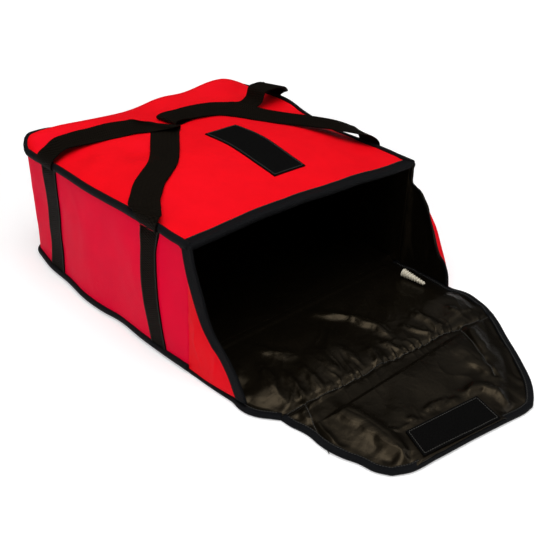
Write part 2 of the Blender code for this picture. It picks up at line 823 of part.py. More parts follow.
def build_handles():
    rows = handle_stations(
        REAR_LEG_Y,
        LEFT_ROUTE_SHARES,
        LEFT_FOLD_SHARES,
        LEFT_RETURN_SHARES,
        FRONT_LEG_Y,
        -1,
        1,
    )
    handle("left_handle_loop", rows, LEFT_HANDLE)
    rows = handle_stations(
        FRONT_LEG_Y,
        RIGHT_ROUTE_SHARES,
        RIGHT_FOLD_SHARES,
        RIGHT_RETURN_SHARES,
        REAR_LEG_Y,
        1,
        -1,
    )
    handle("right_handle_loop", rows, RIGHT_HANDLE)


def build_sleeve():
    """Ribbed, tapered strain relief, turned about its own axis and laid on the flap."""
    profile = [
        (0, SLEEVE_BORE_DEPTH),
        (SLEEVE_BORE, SLEEVE_BORE_DEPTH),
        (SLEEVE_BORE, 0),
        (SLEEVE_RADIUS, 0),
    ]
    pitch = SLEEVE_LENGTH / (SLEEVE_RIBS + 1)
    for rib in range(SLEEVE_RIBS):
        for part, lift in ((0.30, 0), (0.50, -1), (0.80, -1), (1.00, 0)):
            along = pitch * (rib + part)
            share = along / SLEEVE_LENGTH
            width = SLEEVE_RADIUS + (SLEEVE_TIP_RADIUS - SLEEVE_RADIUS) * share
            profile.append((width + lift * SLEEVE_RIB, along))
    profile += [(SLEEVE_TIP_RADIUS, SLEEVE_LENGTH), (0, SLEEVE_LENGTH)]
    mesh = bpy.data.meshes.new("lead_sleeve")
    edges = [(i, i + 1) for i in range(len(profile) - 1)]
    mesh.from_pydata([(r, 0, z) for r, z in profile], edges, [])
    obj = piece("lead_sleeve", mesh, SLEEVE_PLASTIC, FLAP)
    turn = obj.modifiers.new("turn", "SCREW")
    turn.steps = 20
    turn.render_steps = 20
    turn.use_merge_vertices = True
    turn.merge_threshold = SKIN / 50
    turn.use_smooth_shade = True
    turn.use_normal_calculate = True
    turn.use_normal_flip = True
    obj.rotation_euler = (math.pi / 2, 0, 0)
    height = FLAP_TOP + FIT_GAP + SLEEVE_RADIUS
    obj.location = (SLEEVE_X, HINGE_Y - SLEEVE_FROM_HINGE, height)


build_body()
build_wings()
build_flap()
build_tongue()
build_patches()
build_legs()
build_handles()
build_sleeve()
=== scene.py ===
"""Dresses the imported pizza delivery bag: fabric, wadding, tapes, webbing, patches and stage."""

import math

import bpy
import numpy as np
from mathutils import Matrix, Vector


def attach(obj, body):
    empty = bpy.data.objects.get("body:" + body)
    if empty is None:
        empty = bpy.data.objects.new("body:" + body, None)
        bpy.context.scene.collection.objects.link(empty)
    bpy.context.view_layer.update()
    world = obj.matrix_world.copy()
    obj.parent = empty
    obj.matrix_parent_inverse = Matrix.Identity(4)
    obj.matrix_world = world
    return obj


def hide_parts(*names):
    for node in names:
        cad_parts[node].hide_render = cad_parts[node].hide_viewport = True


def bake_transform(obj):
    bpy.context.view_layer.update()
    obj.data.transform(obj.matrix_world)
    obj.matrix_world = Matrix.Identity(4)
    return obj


bl_info = {
    "name": "Pizza delivery bag",
    "version": (1, 0, 0),
    "blender": (4, 5, 0),
    "location": "3D View > Sidebar > Pizza bag",
    "description": "Models the fabric of an open insulated pizza delivery bag over its frame",
    "category": "Object",
}

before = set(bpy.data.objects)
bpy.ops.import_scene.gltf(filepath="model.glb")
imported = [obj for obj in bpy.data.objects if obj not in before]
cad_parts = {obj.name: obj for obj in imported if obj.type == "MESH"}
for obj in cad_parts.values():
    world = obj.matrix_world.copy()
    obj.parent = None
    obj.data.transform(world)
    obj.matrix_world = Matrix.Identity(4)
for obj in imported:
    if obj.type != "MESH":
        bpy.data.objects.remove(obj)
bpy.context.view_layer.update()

# Fabric that goes round the three walls, laid flat: length and height
BAND_FLAT = (1.42, 0.2)
BAND_FOOT_Z = 0.0045

# Height of the left seam from mouth to rear, and how far the right and rear seams rise
LEFT_SEAM_Y = (-0.243, -0.163, -0.094, 0.014, 0.138, 0.198, 0.222, 0.2415)
LEFT_SEAM_Z = (0.2100, 0.2102, 0.2080, 0.2040, 0.2050, 0.2010, 0.2020, 0.2040)
RIGHT_SEAM_Z = 0.205
RIGHT_LIFT_Y = (-0.240, -0.150, -0.020, 0.034, 0.069, 0.120, 0.200, 0.240)
RIGHT_LIFT = (0.0, 0.0020, 0.0060, 0.0160, 0.0255, 0.0285, 0.0250, 0.0220)
REAR_LIFT_X = (-0.240, -0.210, -0.180, -0.120, -0.050, 0.050, 0.150, 0.200, 0.240)
REAR_LIFT = (0.0200, 0.0205, 0.0185, 0.0110, 0.0050, 0.0050, 0.0070, 0.0060, 0.0)
REAR_LIFT_FROM = 0.190

# How far the left wall stands out at its foot and at its middle, from mouth to rear
LEFT_BOW_Y = (-0.24, -0.18, -0.13, -0.059, -0.024, 0.025, 0.095, 0.165, 0.207, 0.242)
LEFT_FOOT = (0.0080, 0.0115, 0.013, 0.0125, 0.018, 0.021, 0.0155, 0.013, 0.006, 0.0)
LEFT_MID_Y = (-0.24, -0.20, -0.14, -0.05, 0.05, 0.13, 0.19, 0.242)
LEFT_MID = (0.004, 0.010, 0.016, 0.016, 0.012, 0.004, 0.0, 0.0)
REAR_FOOT = 0.014
REAR_MID = 0.012
RIGHT_FOOT = 0.016
RIGHT_MID = 0.012

# Puffs of the top's rear, as shares of the half width and depth: place, reach and height
REAR_PUFFS = (
    (0.74, 0.90, 0.34, 0.16, 0.031),
    (0.15, 0.88, 0.22, 0.14, 0.014),
)

# Puffs and dents of the top: place, spread and height
TOP_PUFFS = (
    (-0.050, 0.100, 0.090, 0.0015),
    (0.060, -0.060, 0.120, 0.0020),
    (-0.123, 0.045, 0.034, -0.0110),
    (-0.206, 0.105, 0.024, -0.0085),
    (-0.190, -0.190, 0.050, -0.0030),
    (0.190, -0.200, 0.050, -0.0030),
)

# Free edge of each wing, from the mouth's top corner down to the flap
LEFT_EDGE = (
    (-0.240, -0.2427, 0.2101),
    (-0.241, -0.2480, 0.1902),
    (-0.241, -0.2560, 0.1668),
    (-0.240, -0.2665, 0.1376),
    (-0.238, -0.2745, 0.1091),
    (-0.237, -0.2860, 0.0876),
    (-0.236, -0.3020, 0.0720),
    (-0.236, -0.3240, 0.0514),
    (-0.238, -0.3440, 0.0309),
    (-0.240, -0.3584, 0.0117),
)
RIGHT_EDGE = (
    (0.240, -0.2415, 0.2051),
    (0.240, -0.2420, 0.1870),
    (0.240, -0.2445, 0.1700),
    (0.240, -0.2560, 0.1640),
    (0.240, -0.2640, 0.1600),
    (0.240, -0.2751, 0.1476),
    (0.240, -0.2861, 0.1325),
    (0.241, -0.3063, 0.1063),
    (0.241, -0.3190, 0.0830),
    (0.241, -0.3316, 0.0576),
    (0.241, -0.3430, 0.0260),
    (0.240, -0.3470, 0.0070),
)

# Height on the right edge and how wide its folded strip is there
STRIP_Z = (0.007, 0.030, 0.045, 0.0576, 0.070, 0.083, 0.1063, 0.120, 0.1325, 0.150, 0.205)
STRIP_WIDTH = (0.002, 0.003, 0.006, 0.010, 0.018, 0.020, 0.015, 0.009, 0.002, 0.002, 0.002)

# Outline of the flap on the floor, each line from left to right or rear to front
FLAP_LEFT = (
    (-0.2490, -0.228),
    (-0.2470, -0.278),
    (-0.2450, -0.311),
    (-0.2430, -0.335),
    (-0.2450, -0.353),
    (-0.2440, -0.366),
    (-0.2380, -0.381),
    (-0.2270, -0.396),
    (-0.2165, -0.408),
)
FLAP_RIGHT = (
    (0.2400, -0.228),
    (0.2415, -0.290),
    (0.2410, -0.335),
    (0.2390, -0.357),
    (0.2465, -0.380),
    (0.2400, -0.416),
    (0.2255, -0.450),
)
CREASE = (
    (-0.2165, -0.408),
    (-0.1980, -0.407),
    (-0.1740, -0.408),
    (-0.1290, -0.416),
    (-0.0670, -0.422),
    (-0.0230, -0.422),
    (0.0420, -0.429),
    (0.1010, -0.433),
    (0.1430, -0.440),
    (0.1850, -0.446),
    (0.2255, -0.450),
)
TONGUE_LEFT = (
    (-0.2165, -0.408),
    (-0.2150, -0.428),
    (-0.2115, -0.442),
    (-0.2095, -0.457),
    (-0.2110, -0.475),
    (-0.2110, -0.492),
    (-0.2075, -0.510),
    (-0.1975, -0.536),
    (-0.1930, -0.557),
    (-0.1820, -0.5755),
)
TONGUE_RIGHT = (
    (0.2255, -0.4500),
    (0.2095, -0.4725),
    (0.1900, -0.4965),
    (0.1480, -0.5520),
    (0.1095, -0.5945),
    (0.0880, -0.6105),
    (0.0700, -0.6205),
)
TONGUE_TIP = (
    (-0.1820, -0.5755),
    (-0.1615, -0.5869),
    (-0.1150, -0.5951),
    (-0.0433, -0.6054),
    (0.0230, -0.6165),
    (0.0520, -0.6210),
    (0.0700, -0.6205),
)
LEFT_DIAGONAL = ((-0.174, -0.408), (-0.197, -0.455), (-0.216, -0.499))
RIGHT_DIAGONAL = ((0.145, -0.441), (0.111, -0.500), (0.078, -0.553))

# Folds of the flap's and the tongue's lining: line, height and width
LINING_FOLDS = (
    (
        ((-0.009, -0.264), (0.014, -0.287), (0.034, -0.316), (0.042, -0.356), (0.036, -0.395)),
        0.0065,
        0.010,
    ),
    (((-0.170, -0.315), (-0.180, -0.344), (-0.195, -0.383)), 0.0050, 0.009),
    (((-0.124, -0.348), (-0.130, -0.380), (-0.139, -0.415)), 0.0040, 0.007),
    (((-0.079, -0.341), (-0.089, -0.372), (-0.091, -0.395)), 0.0030, 0.006),
    (((-0.047, -0.361), (-0.049, -0.384), (-0.054, -0.408)), 0.0030, 0.006),
    (((-0.009, -0.380), (-0.019, -0.406), (-0.033, -0.426)), 0.0050, 0.007),
    (((0.017, -0.382), (0.019, -0.407), (0.023, -0.422)), 0.0040, 0.008),
    (((0.011, -0.424), (0.029, -0.433), (0.053, -0.433)), 0.0030, 0.006),
    (((0.121, -0.362), (0.121, -0.389), (0.121, -0.420), (0.117, -0.439)), 0.0060, 0.010),
    (((0.078, -0.383), (0.085, -0.408), (0.098, -0.429)), 0.0040, 0.006),
    (((0.104, -0.449), (0.094, -0.488), (0.086, -0.521), (0.078, -0.553)), 0.0090, 0.015),
    (((0.156, -0.446), (0.140, -0.476), (0.120, -0.505)), 0.0050, 0.007),
    (((-0.181, -0.418), (-0.191, -0.453), (-0.199, -0.492), (-0.204, -0.527)), 0.0060, 0.009),
    (
        (
            (-0.148, -0.430),
            (-0.148, -0.463),
            (-0.142, -0.495),
            (-0.143, -0.530),
            (-0.147, -0.562),
            (-0.158, -0.581),
        ),
        0.0100,
        0.013,
    ),
    (((-0.066, -0.534), (-0.043, -0.532), (-0.020, -0.537)), 0.0030, 0.005),
    (((0.010, -0.545), (0.040, -0.553), (0.051, -0.575), (0.042, -0.599)), 0.0060, 0.009),
    (((0.175, -0.396), (0.175, -0.420), (0.173, -0.445)), 0.0035, 0.006),
    (((-0.151, -0.344), (-0.158, -0.375), (-0.167, -0.405)), 0.0035, 0.007),
    (((-0.146, -0.260), (-0.137, -0.291), (-0.116, -0.322)), 0.0030, 0.010),
)

# Corners of the hook patch on the tongue and of the loop patch on the top
HOOK_CORNERS = ((-0.134, -0.588), (0.003, -0.612), (0.018, -0.5625), (-0.116, -0.543))
LOOP_CORNERS = ((-0.013, -0.163), (0.057, -0.161), (0.057, 0.017), (-0.013, 0.015))

# Handle routes: place across and along, height over the top, slant and lean in degrees
LEFT_ROUTE = (
    (-0.2304, 0.151, 0.0125, 0, 0),
    (-0.2136, 0.152, 0.0130, 0, 4),
    (-0.1896, 0.150, 0.0080, 1, 8),
    (-0.1584, 0.139, 0.0045, 2, 11),
    (-0.1248, 0.129, 0.0030, 5, 12),
    (-0.0936, 0.117, 0.0030, 12, 6),
)
LEFT_FOLD = (-0.0460, 0.080, 38)
LEFT_RETURN = (
    (-0.0760, 0.044, 0.0, 45, 0),
    (-0.1080, 0.000, 0.0, 45, 0),
    (-0.1392, -0.036, 0.0, 45, 0),
    (-0.1625, -0.053, 0.0, 45, 0),
    (-0.1855, -0.069, 0.0005, 43, 0),
    (-0.2059, -0.090, 0.0016, 39, 0),
    (-0.2215, -0.107, 0.0042, 30, 0),
    (-0.2333, -0.128, 0.0078, 12, 0),
)
RIGHT_ROUTE = (
    (0.2328, -0.130, 0.0177, -8, 0),
    (0.2208, -0.115, 0.0182, -24, 0),
    (0.2016, -0.086, 0.0156, -46, 3),
    (0.1764, -0.046, 0.0080, -57, 8),
    (0.1500, -0.012, 0.0050, -60, 10),
    (0.1272, 0.026, 0.0040, -56, 11),
    (0.1056, 0.064, 0.0048, -43, 12),
    (0.0768, 0.091, 0.0048, -24, 11),
    (0.0384, 0.103, 0.0046, -10, 8),
    (0.0080, 0.105, 0.0046, 2, 4),
)
RIGHT_FOLD = (-0.0340, 0.099, 8)
RIGHT_RETURN = (
    (0.0080, 0.107, 0.0, 8, 0),
    (0.0528, 0.113, 0.0, 4, 0),
    (0.0980, 0.113, 0.0, -6, 0),
    (0.1330, 0.105, 0.0002, -8, 0),
    (0.1560, 0.100, 0.0016, -8, 0),
    (0.1700, 0.100, 0.0090, -4, 0),
    (0.1840, 0.103, 0.0290, 0, 0),
    (0.2000, 0.103, 0.0315, 8, 0),
    (0.2200, 0.102, 0.0300, 18, 0),
    (0.2390, 0.110, 0.0170, 16, 0),
)

# Each leg of the webbing: its place along the wall at the seam and at the foot, and how
# much narrower it shows at the foot
LEFT_FRONT_LEG = (-0.148, -0.172, 0.27)
LEFT_REAR_LEG = (0.152, 0.136, 0.0)
RIGHT_FRONT_LEG = (-0.133, -0.133, 0.0)
RIGHT_REAR_LEG = (0.130, 0.152, 0.0)
LEG_ROWS = 12
FOLD_RADIUS = 0.0032
LIE_GAP = 0.0020

# Heights of the flap's and tongue's layers over the floor
FLOOR_FABRIC_Z = 0.0010
PADDING_UNDER_Z = 0.0021
PADDING_LEAST_Z = 0.0024
LINING_RIM_Z = 0.0044
LINING_RISE = 0.0082
LINING_LEAST_Z = 0.0032
LINING_MOST_Z = 0.030
PATCH_BED_Z = 0.0112
PATCH_Z = 0.0116

# Sheets laid flat, and the area of those that aren't rectangles
WING_FLAT = (0.12, 0.20)
FLAP_FLAT = (0.48, 0.20)
TONGUE_FLAT = (0.44, 0.19)
TONGUE_AREA = 0.073

# Tapes: how far they reach over the fabric, and how thick they are
LEFT_WING_TAPE = (0.0170, 0.0050)
RIGHT_WING_TAPE = (0.0080, 0.0040)
EDGE_TAPE = (0.0090, 0.0056)
MOUTH_TAPE_THICK = 0.0100
PIPING_REACH = 0.0046

# Height of the linings' wrinkles, wadding under the lining, thread over the cloth
WRINKLE = 0.0022
PADDING_BELOW = 0.0016
THREAD_LIFT = 0.0002

# Webbing legs: half their width as a share of the band, and how far out they pass the seam
LEG_SHARE = 0.0177
LEG_OUT = 0.0062

# Where cloth bends when flap and tongue fold
FLAP_BEND = {"start": (0, -0.236, 0.0133), "end": (0, -0.2500, 0.0133)}
TONGUE_BEND = {"start": (0, -0.4420, 0.0133), "end": (0, -0.4540, 0.0133)}

# Sleeve of the lead on the flap: where it starts and ends across, where it starts along
SLEEVE_X = (0.1935, 0.1965)
SLEEVE_Y = -0.282
SLEEVE_THIN = 0.0034
SLEEVE_RIBS = 9

# Stage: camera place with yaw, pitch and roll, lamps with setting, extent, place and aim
CAMERA_PLACE = (-0.77791, -0.98577, 0.71272)
CAMERA_TURN = (43.159, 30.825, 1.578)
LAMPS = (
    ("key", 1.6, (-0.35, -0.55, 1.9), (0, -0.1, 0.1)),
    ("fill", 1.2, (1.2, -1.5, 0.9), (0, -0.2, 0.1)),
    ("side", 1.2, (-1.6, -0.3, 0.9), (-0.2, 0, 0.1)),
)
FLOOR_SIZE = 30
SKY_LOW = 0.05
SKY_HIGH = 2.6
GLOW_NEAR = 0.28
GLOW_FAR = 0.20


def size(name, words, default):
    """A length that the panel shows."""
    return bpy.props.FloatProperty(
        name=name, description=words, default=default, unit="LENGTH", precision=4, min=0
    )


def tint(name, words, default):
    """A colour that the panel shows."""
    return bpy.props.FloatVectorProperty(
        name=name, description=words, default=default, subtype="COLOR", size=3, min=0, max=1
    )


class BagSizes(bpy.types.PropertyGroup):
    """Sizes of the bag's fabric"""

    half_width: size("Half width", "Half the width of the body at its seams", 0.240)
    half_depth: size("Half depth", "Half the depth of the body", 0.240)
    corner: size("Corner radius", "Radius of the two rear corners", 0.018)
    crown: size("Crown", "How far the top puffs up over its seams", 0.034)
    skin: size("Skin", "Thickness of the red fabric", 0.0008)
    wadding: size("Wadding", "Thickness of the wadding in top and walls", 0.0100)
    lining: size("Lining", "Thickness of the lining", 0.0006)
    piping: size("Piping", "Height of the piping that shows on a seam", 0.0125)
    tape: size("Tape", "How far the mouth's binding reaches over the fabric", 0.0170)
    webbing: size("Webbing", "Width of the handle webbing", 0.0500)
    webbing_thickness: size("Webbing thickness", "Thickness of the webbing", 0.0016)
    pile: size("Pile", "Thickness of the hook and the loop patch", 0.0020)
    sleeve_length: size("Sleeve length", "Length of the lead's ribbed sleeve", 0.0460)
    sleeve_width: size("Sleeve width", "Width of the sleeve at its thick end", 0.0160)


class BagColours(bpy.types.PropertyGroup):
    """Colours of the bag's fabrics"""

    red: tint("Red fabric", "Colour of the outer fabric", (0.840, 0.0030, 0.0060))
    # band: the top's red nylon made bluer, painted cool shade that the light puts on the walls
    band: tint("Red band", "Colour of the fabric round the walls", (0.820, 0.0010, 0.0300))
    lining: tint("Lining", "Colour of the lining", (0.0027, 0.0020, 0.0011))
    tape: tint("Tape", "Colour of bindings and piping", (0.0040, 0.0040, 0.0046))
    webbing: tint("Webbing", "Colour of the handle webbing", (0.0040, 0.0029, 0.0020))
    pile: tint("Pile", "Colour of the hook and loop patches", (0.0020, 0.0019, 0.0018))
    thread: tint("Thread", "Colour of the stitches", (0.0150, 0.0137, 0.0100))
    wadding: tint("Wadding", "Colour of the wadding", (0.60, 0.60, 0.57))
    cream: tint("Sleeve", "Colour of the lead's sleeve", (0.640, 0.590, 0.470))


class BagStage(bpy.types.PropertyGroup):
    """Floor, lamps and camera"""

    floor: tint("Floor", "Colour of the floor", (0.80, 0.80, 0.80))
    sky: bpy.props.FloatProperty(
        name="Sky", description="Strength of the light from all round", default=0.42, min=0
    )
    key: bpy.props.FloatProperty(
        name="Key", description="Power of the large lamp over the bag", default=23.0, min=0
    )
    fill: bpy.props.FloatProperty(
        name="Fill", description="Power of the lamp in front on the right", default=5.0, min=0
    )
    side: bpy.props.FloatProperty(
        name="Side", description="Power of the lamp on the left", default=8.0, min=0
    )
    lens: bpy.props.FloatProperty(
        name="Lens", description="Focal length of the camera", default=50.315, unit="CAMERA"
    )


def sizes():
    return bpy.context.scene.pizza_bag_sizes


def colours():
    return bpy.context.scene.pizza_bag_colours


# Curves and shapes in numbers


def ease(value):
    """Soft step from 0 to 1."""
    value = np.clip(value, 0.0, 1.0)
    return value * value * (3 - 2 * value)


def smooth_curve(value, places, heights):
    """A smooth line through these heights, read at value."""
    places = np.asarray(places, float)
    heights = np.asarray(heights, float)
    slopes = np.gradient(heights, places)
    value = np.clip(np.asarray(value, float), places[0], places[-1])
    i = np.clip(np.searchsorted(places, value) - 1, 0, len(places) - 2)
    span = places[i + 1] - places[i]
    t = (value - places[i]) / span
    return (
        heights[i] * (1 + 2 * t) * (1 - t) ** 2
        + slopes[i] * span * t * (1 - t) ** 2
        + heights[i + 1] * t * t * (3 - 2 * t)
        + slopes[i + 1] * span * t * t * (t - 1)
    )


def line_through(points, share):
    """Points of a smooth line through these, at shares of its length."""
    points = np.asarray(points, float)
    steps = np.linalg.norm(np.diff(points, axis=0), axis=1)
    run = np.concatenate(([0.0], np.cumsum(steps)))
    run /= run[-1]
    return np.stack([smooth_curve(share, run, points[:, k]) for k in range(points.shape[1])], -1)


def spread(points, count):
    """This many points along the smooth line, evenly spaced."""
    fine = line_through(points, np.linspace(0, 1, 600))
    steps = np.linalg.norm(np.diff(fine, axis=0), axis=1)
    run = np.concatenate(([0.0], np.cumsum(steps)))
    want = np.linspace(0, run[-1], count)
    return np.stack([np.interp(want, run, fine[:, k]) for k in range(fine.shape[1])], -1)


def grain(x, y, reach, seed):
    """Smooth noise over the cloth from -1 to 1, whose lumps are about reach wide."""
    lattice = np.random.RandomState(seed).uniform(-1, 1, (64, 64))
    a, b = x / reach, y / reach
    i, j = np.floor(a).astype(int), np.floor(b).astype(int)
    s, t = a - i, b - j
    s = s * s * s * (s * (s * 6 - 15) + 10)
    t = t * t * t * (t * (t * 6 - 15) + 10)
    low = lattice[i % 64, j % 64] * (1 - s) + lattice[(i + 1) % 64, j % 64] * s
    high = lattice[i % 64, (j + 1) % 64] * (1 - s) + lattice[(i + 1) % 64, (j + 1) % 64] * s
    return low * (1 - t) + high * t


def folds(x, y, angle, length, width, seed, bend=0.4):
    """Long soft ridges that run along this angle, from 0 to 1."""
    turn = math.radians(angle)
    along = x * math.cos(turn) + y * math.sin(turn)
    across = y * math.cos(turn) - x * math.sin(turn)
    across = across + bend * width * 2 * grain(x, y, length * 0.7, seed + 11)
    ridge = 1 - np.abs(grain(along / length, across / width, 1.0, seed))
    return ridge**2.2


def next_to_line(x, y, points):
    """How far each place is from this line, and the share of the line next to it."""
    best = np.full(np.shape(x), 9.0)
    share = np.zeros(np.shape(x))
    last = len(points) - 1
    for i, ((ax, ay), (bx, by)) in enumerate(zip(points[:-1], points[1:])):
        dx, dy = bx - ax, by - ay
        t = np.clip(((x - ax) * dx + (y - ay) * dy) / (dx * dx + dy * dy), 0, 1)
        away = np.hypot(x - ax - t * dx, y - ay - t * dy)
        share = np.where(away < best, (i + t) / last, share)
        best = np.minimum(best, away)
    return best, share


def distance_to(x, y, points):
    """How far each place is from this line."""
    return next_to_line(x, y, points)[0]


def crown_height(x, y):
    """Puff of the top over its seams."""
    half, deep = sizes().half_width, sizes().half_depth
    across = np.clip(np.abs(x) / half, 0, 1)
    along = np.clip((y + deep) / (2 * deep), 0, 1)
    side = (1 - across**3) ** 0.75
    rear = (1 - np.clip(2 * along - 1, 0, 1) ** 10) ** 0.5
    rim = (1 - across**12) ** 0.5
    puffs = 0 * across
    for px, py, reach_x, reach_y, lift in REAR_PUFFS:
        spread_x, spread_y = (x / half - px) / reach_x, (y / deep - py) / reach_y
        puffs = puffs + lift * np.exp(-(spread_x**2) - spread_y**2)
    return (sizes().crown * side * (0.23 + 0.77 * ease(along / 0.45)) + puffs * rim) * rear


def seam_z(x, y):
    """Height of the seam line between its left and right side."""
    half, deep = sizes().half_width, sizes().half_depth
    share = np.clip(x / half * 0.5 + 0.5, 0, 1)
    left = smooth_curve(y, LEFT_SEAM_Y, LEFT_SEAM_Z)
    right = smooth_curve(y, RIGHT_LIFT_Y, RIGHT_LIFT) * np.exp(-np.clip(half - x, 0, 1) / 0.035)
    corner = 1 - np.exp(-np.clip(x + half, 0, 1) / 0.0045)
    rear = corner * ease((y - REAR_LIFT_FROM) / (deep - REAR_LIFT_FROM))
    rear = rear * smooth_curve(x, REAR_LIFT_X, REAR_LIFT)
    return left * (1 - share) + RIGHT_SEAM_Z * share + right + rear


def top_z(x, y):
    """Height of the red top."""
    half, deep = sizes().half_width, sizes().half_depth
    rim = np.clip((half - np.abs(x)) / 0.05, 0, 1) * np.clip((deep - y) / 0.05, 0, 1)
    height = seam_z(x, y) + crown_height(x, y)
    for px, py, reach, lift in TOP_PUFFS:
        height = height + lift * rim * np.exp(-((x - px) ** 2 + (y - py) ** 2) / reach**2)
    inner = ease(rim)
    height = height + inner * 0.0022 * grain(x + 3, y + 3, 0.110, 21)
    height = height + inner * 0.0007 * grain(x + 3, y + 3, 0.034, 22)
    side = np.exp(-(half - np.abs(x)) / 0.020)
    height = height + side * 0.0011 * grain(y + 3, x * 0.3 + 3, 0.020, 23)
    return height


def top_place(u, v):
    """Place on the top for the share across and the share from mouth to rear."""
    half, deep, corner = sizes().half_width, sizes().half_depth, sizes().corner
    turn = np.clip((v - 0.9) / 0.1, 0, 1) * np.pi / 2
    y = -deep + (2 * deep - corner) * np.clip(v / 0.9, 0, 1) + corner * np.sin(turn)
    width = half - corner + corner * np.cos(turn)
    across = 2 * u - 1
    x = width * (0.6 * across + 0.4 * np.sin(across * np.pi / 2))
    return x, y


def band_length():
    """Length of the seam round the left, rear and right sides."""
    half, deep, corner = sizes().half_width, sizes().half_depth, sizes().corner
    return 2 * (2 * deep - corner) + np.pi * corner + 2 * (half - corner)


def body_line(share):
    """Place on the seam line and its outward side, from the mouth's left end round the rear."""
    half, deep, corner = sizes().half_width, sizes().half_depth, sizes().corner
    side = 2 * deep - corner
    quarter = corner * np.pi / 2
    rear = 2 * (half - corner)
    run = np.asarray(share, float) * band_length()
    first = np.clip((run - side) / quarter, 0, 1) * np.pi / 2
    second = np.clip((run - side - quarter - rear) / quarter, 0, 1) * np.pi / 2
    angle = first + second
    nx, ny = -np.cos(angle), np.sin(angle)
    across = np.clip(run - side - quarter, 0, rear)
    last = np.clip(run - side - 2 * quarter - rear, 0, side)
    x = -half + corner + corner * nx + across
    y = -deep + np.clip(run, 0, side) + corner * ny - last
    return x, y, nx, ny


def wall_bow(x, y, nx, ny, t):
    """How far the wall stands out at share t of its height."""
    half, deep = sizes().half_width, sizes().half_depth
    wide = np.clip(1 - (x / half) ** 2, 0, 1)
    long = np.clip(1 - (y / deep) ** 2, 0, 1)
    left = np.where(nx < 0, nx * nx, 0.0)
    right = np.where(nx > 0, nx * nx, 0.0)
    foot = (
        left * smooth_curve(y, LEFT_BOW_Y, LEFT_FOOT)
        + ny * ny * REAR_FOOT * wide
        + right * RIGHT_FOOT * long
    )
    middle = (
        left * smooth_curve(y, LEFT_MID_Y, LEFT_MID)
        + ny * ny * REAR_MID * wide
        + right * RIGHT_MID * long
    )
    return foot * (1 - t) * (1 - 2 * t) + 4 * middle * t * (1 - t)


def wall_place(share, t):
    """Place on the outside of the band at this share round it and of its height."""
    x, y, nx, ny = body_line(share)
    top = seam_z(x, y)
    bow = wall_bow(x, y, nx, ny, t)
    soft = 4 * t * (1 - t)
    run = share * BAND_FLAT[0]
    high = t * BAND_FLAT[1]
    dent = 0.0030 * grain(run + 5, high + 5, 0.085, 31) + 0.0014 * grain(run, high, 0.040, 32)
    crease = folds(run, high, 76, 0.16, 0.050, 33) - 0.35
    inner = ease(np.minimum(share, 1 - share) * band_length() / 0.060)
    bow = bow + inner * soft * (dent + 0.0016 * crease)
    z = BAND_FOOT_Z + (top - BAND_FOOT_Z) * t
    return np.stack([x + nx * bow, y + ny * bow, z], -1)


def stretched(left, right, rear, front, u, v):
    """Place between four edge lines of a panel."""
    side_a = line_through(left, v)
    side_b = line_through(right, v)
    edge_a = line_through(rear, u)
    edge_b = line_through(front, u)
    u, v = u[:, None], v[:, None]
    corners = (
        np.asarray(rear[0]) * (1 - u) * (1 - v)
        + np.asarray(rear[-1]) * u * (1 - v)
        + np.asarray(front[0]) * (1 - u) * v
        + np.asarray(front[-1]) * u * v
    )
    return side_a * (1 - u) + side_b * u + edge_a * (1 - v) + edge_b * v - corners


def flap_rear():
    """Edge of the flap along its hinge."""
    return (FLAP_LEFT[0], (0.0, FLAP_LEFT[0][1]), FLAP_RIGHT[0])


def rim_line():
    """Bound edge of flap and tongue, from the left of the hinge round to its right."""
    left = list(spread(FLAP_LEFT, 20)) + list(spread(TONGUE_LEFT, 20))[1:]
    tip = list(spread(TONGUE_TIP, 24))[1:]
    right = list(spread(TONGUE_RIGHT, 20))[::-1][1:] + list(spread(FLAP_RIGHT, 20))[::-1][1:]
    return np.array(left + tip + right)


def patch_share(x, y):
    """How far from the hook patch's middle, 1 on its edge."""
    corners = np.array(HOOK_CORNERS)
    middle = corners.mean(axis=0)
    along = (corners[1] + corners[2] - corners[0] - corners[3]) / 4
    across = (corners[2] + corners[3] - corners[0] - corners[1]) / 4
    a, b = np.linalg.inv(np.stack([along, across], axis=1)) @ np.stack(
        [np.ravel(x) - middle[0], np.ravel(y) - middle[1]]
    )
    return np.maximum(np.abs(a), np.abs(b)).reshape(np.shape(x))


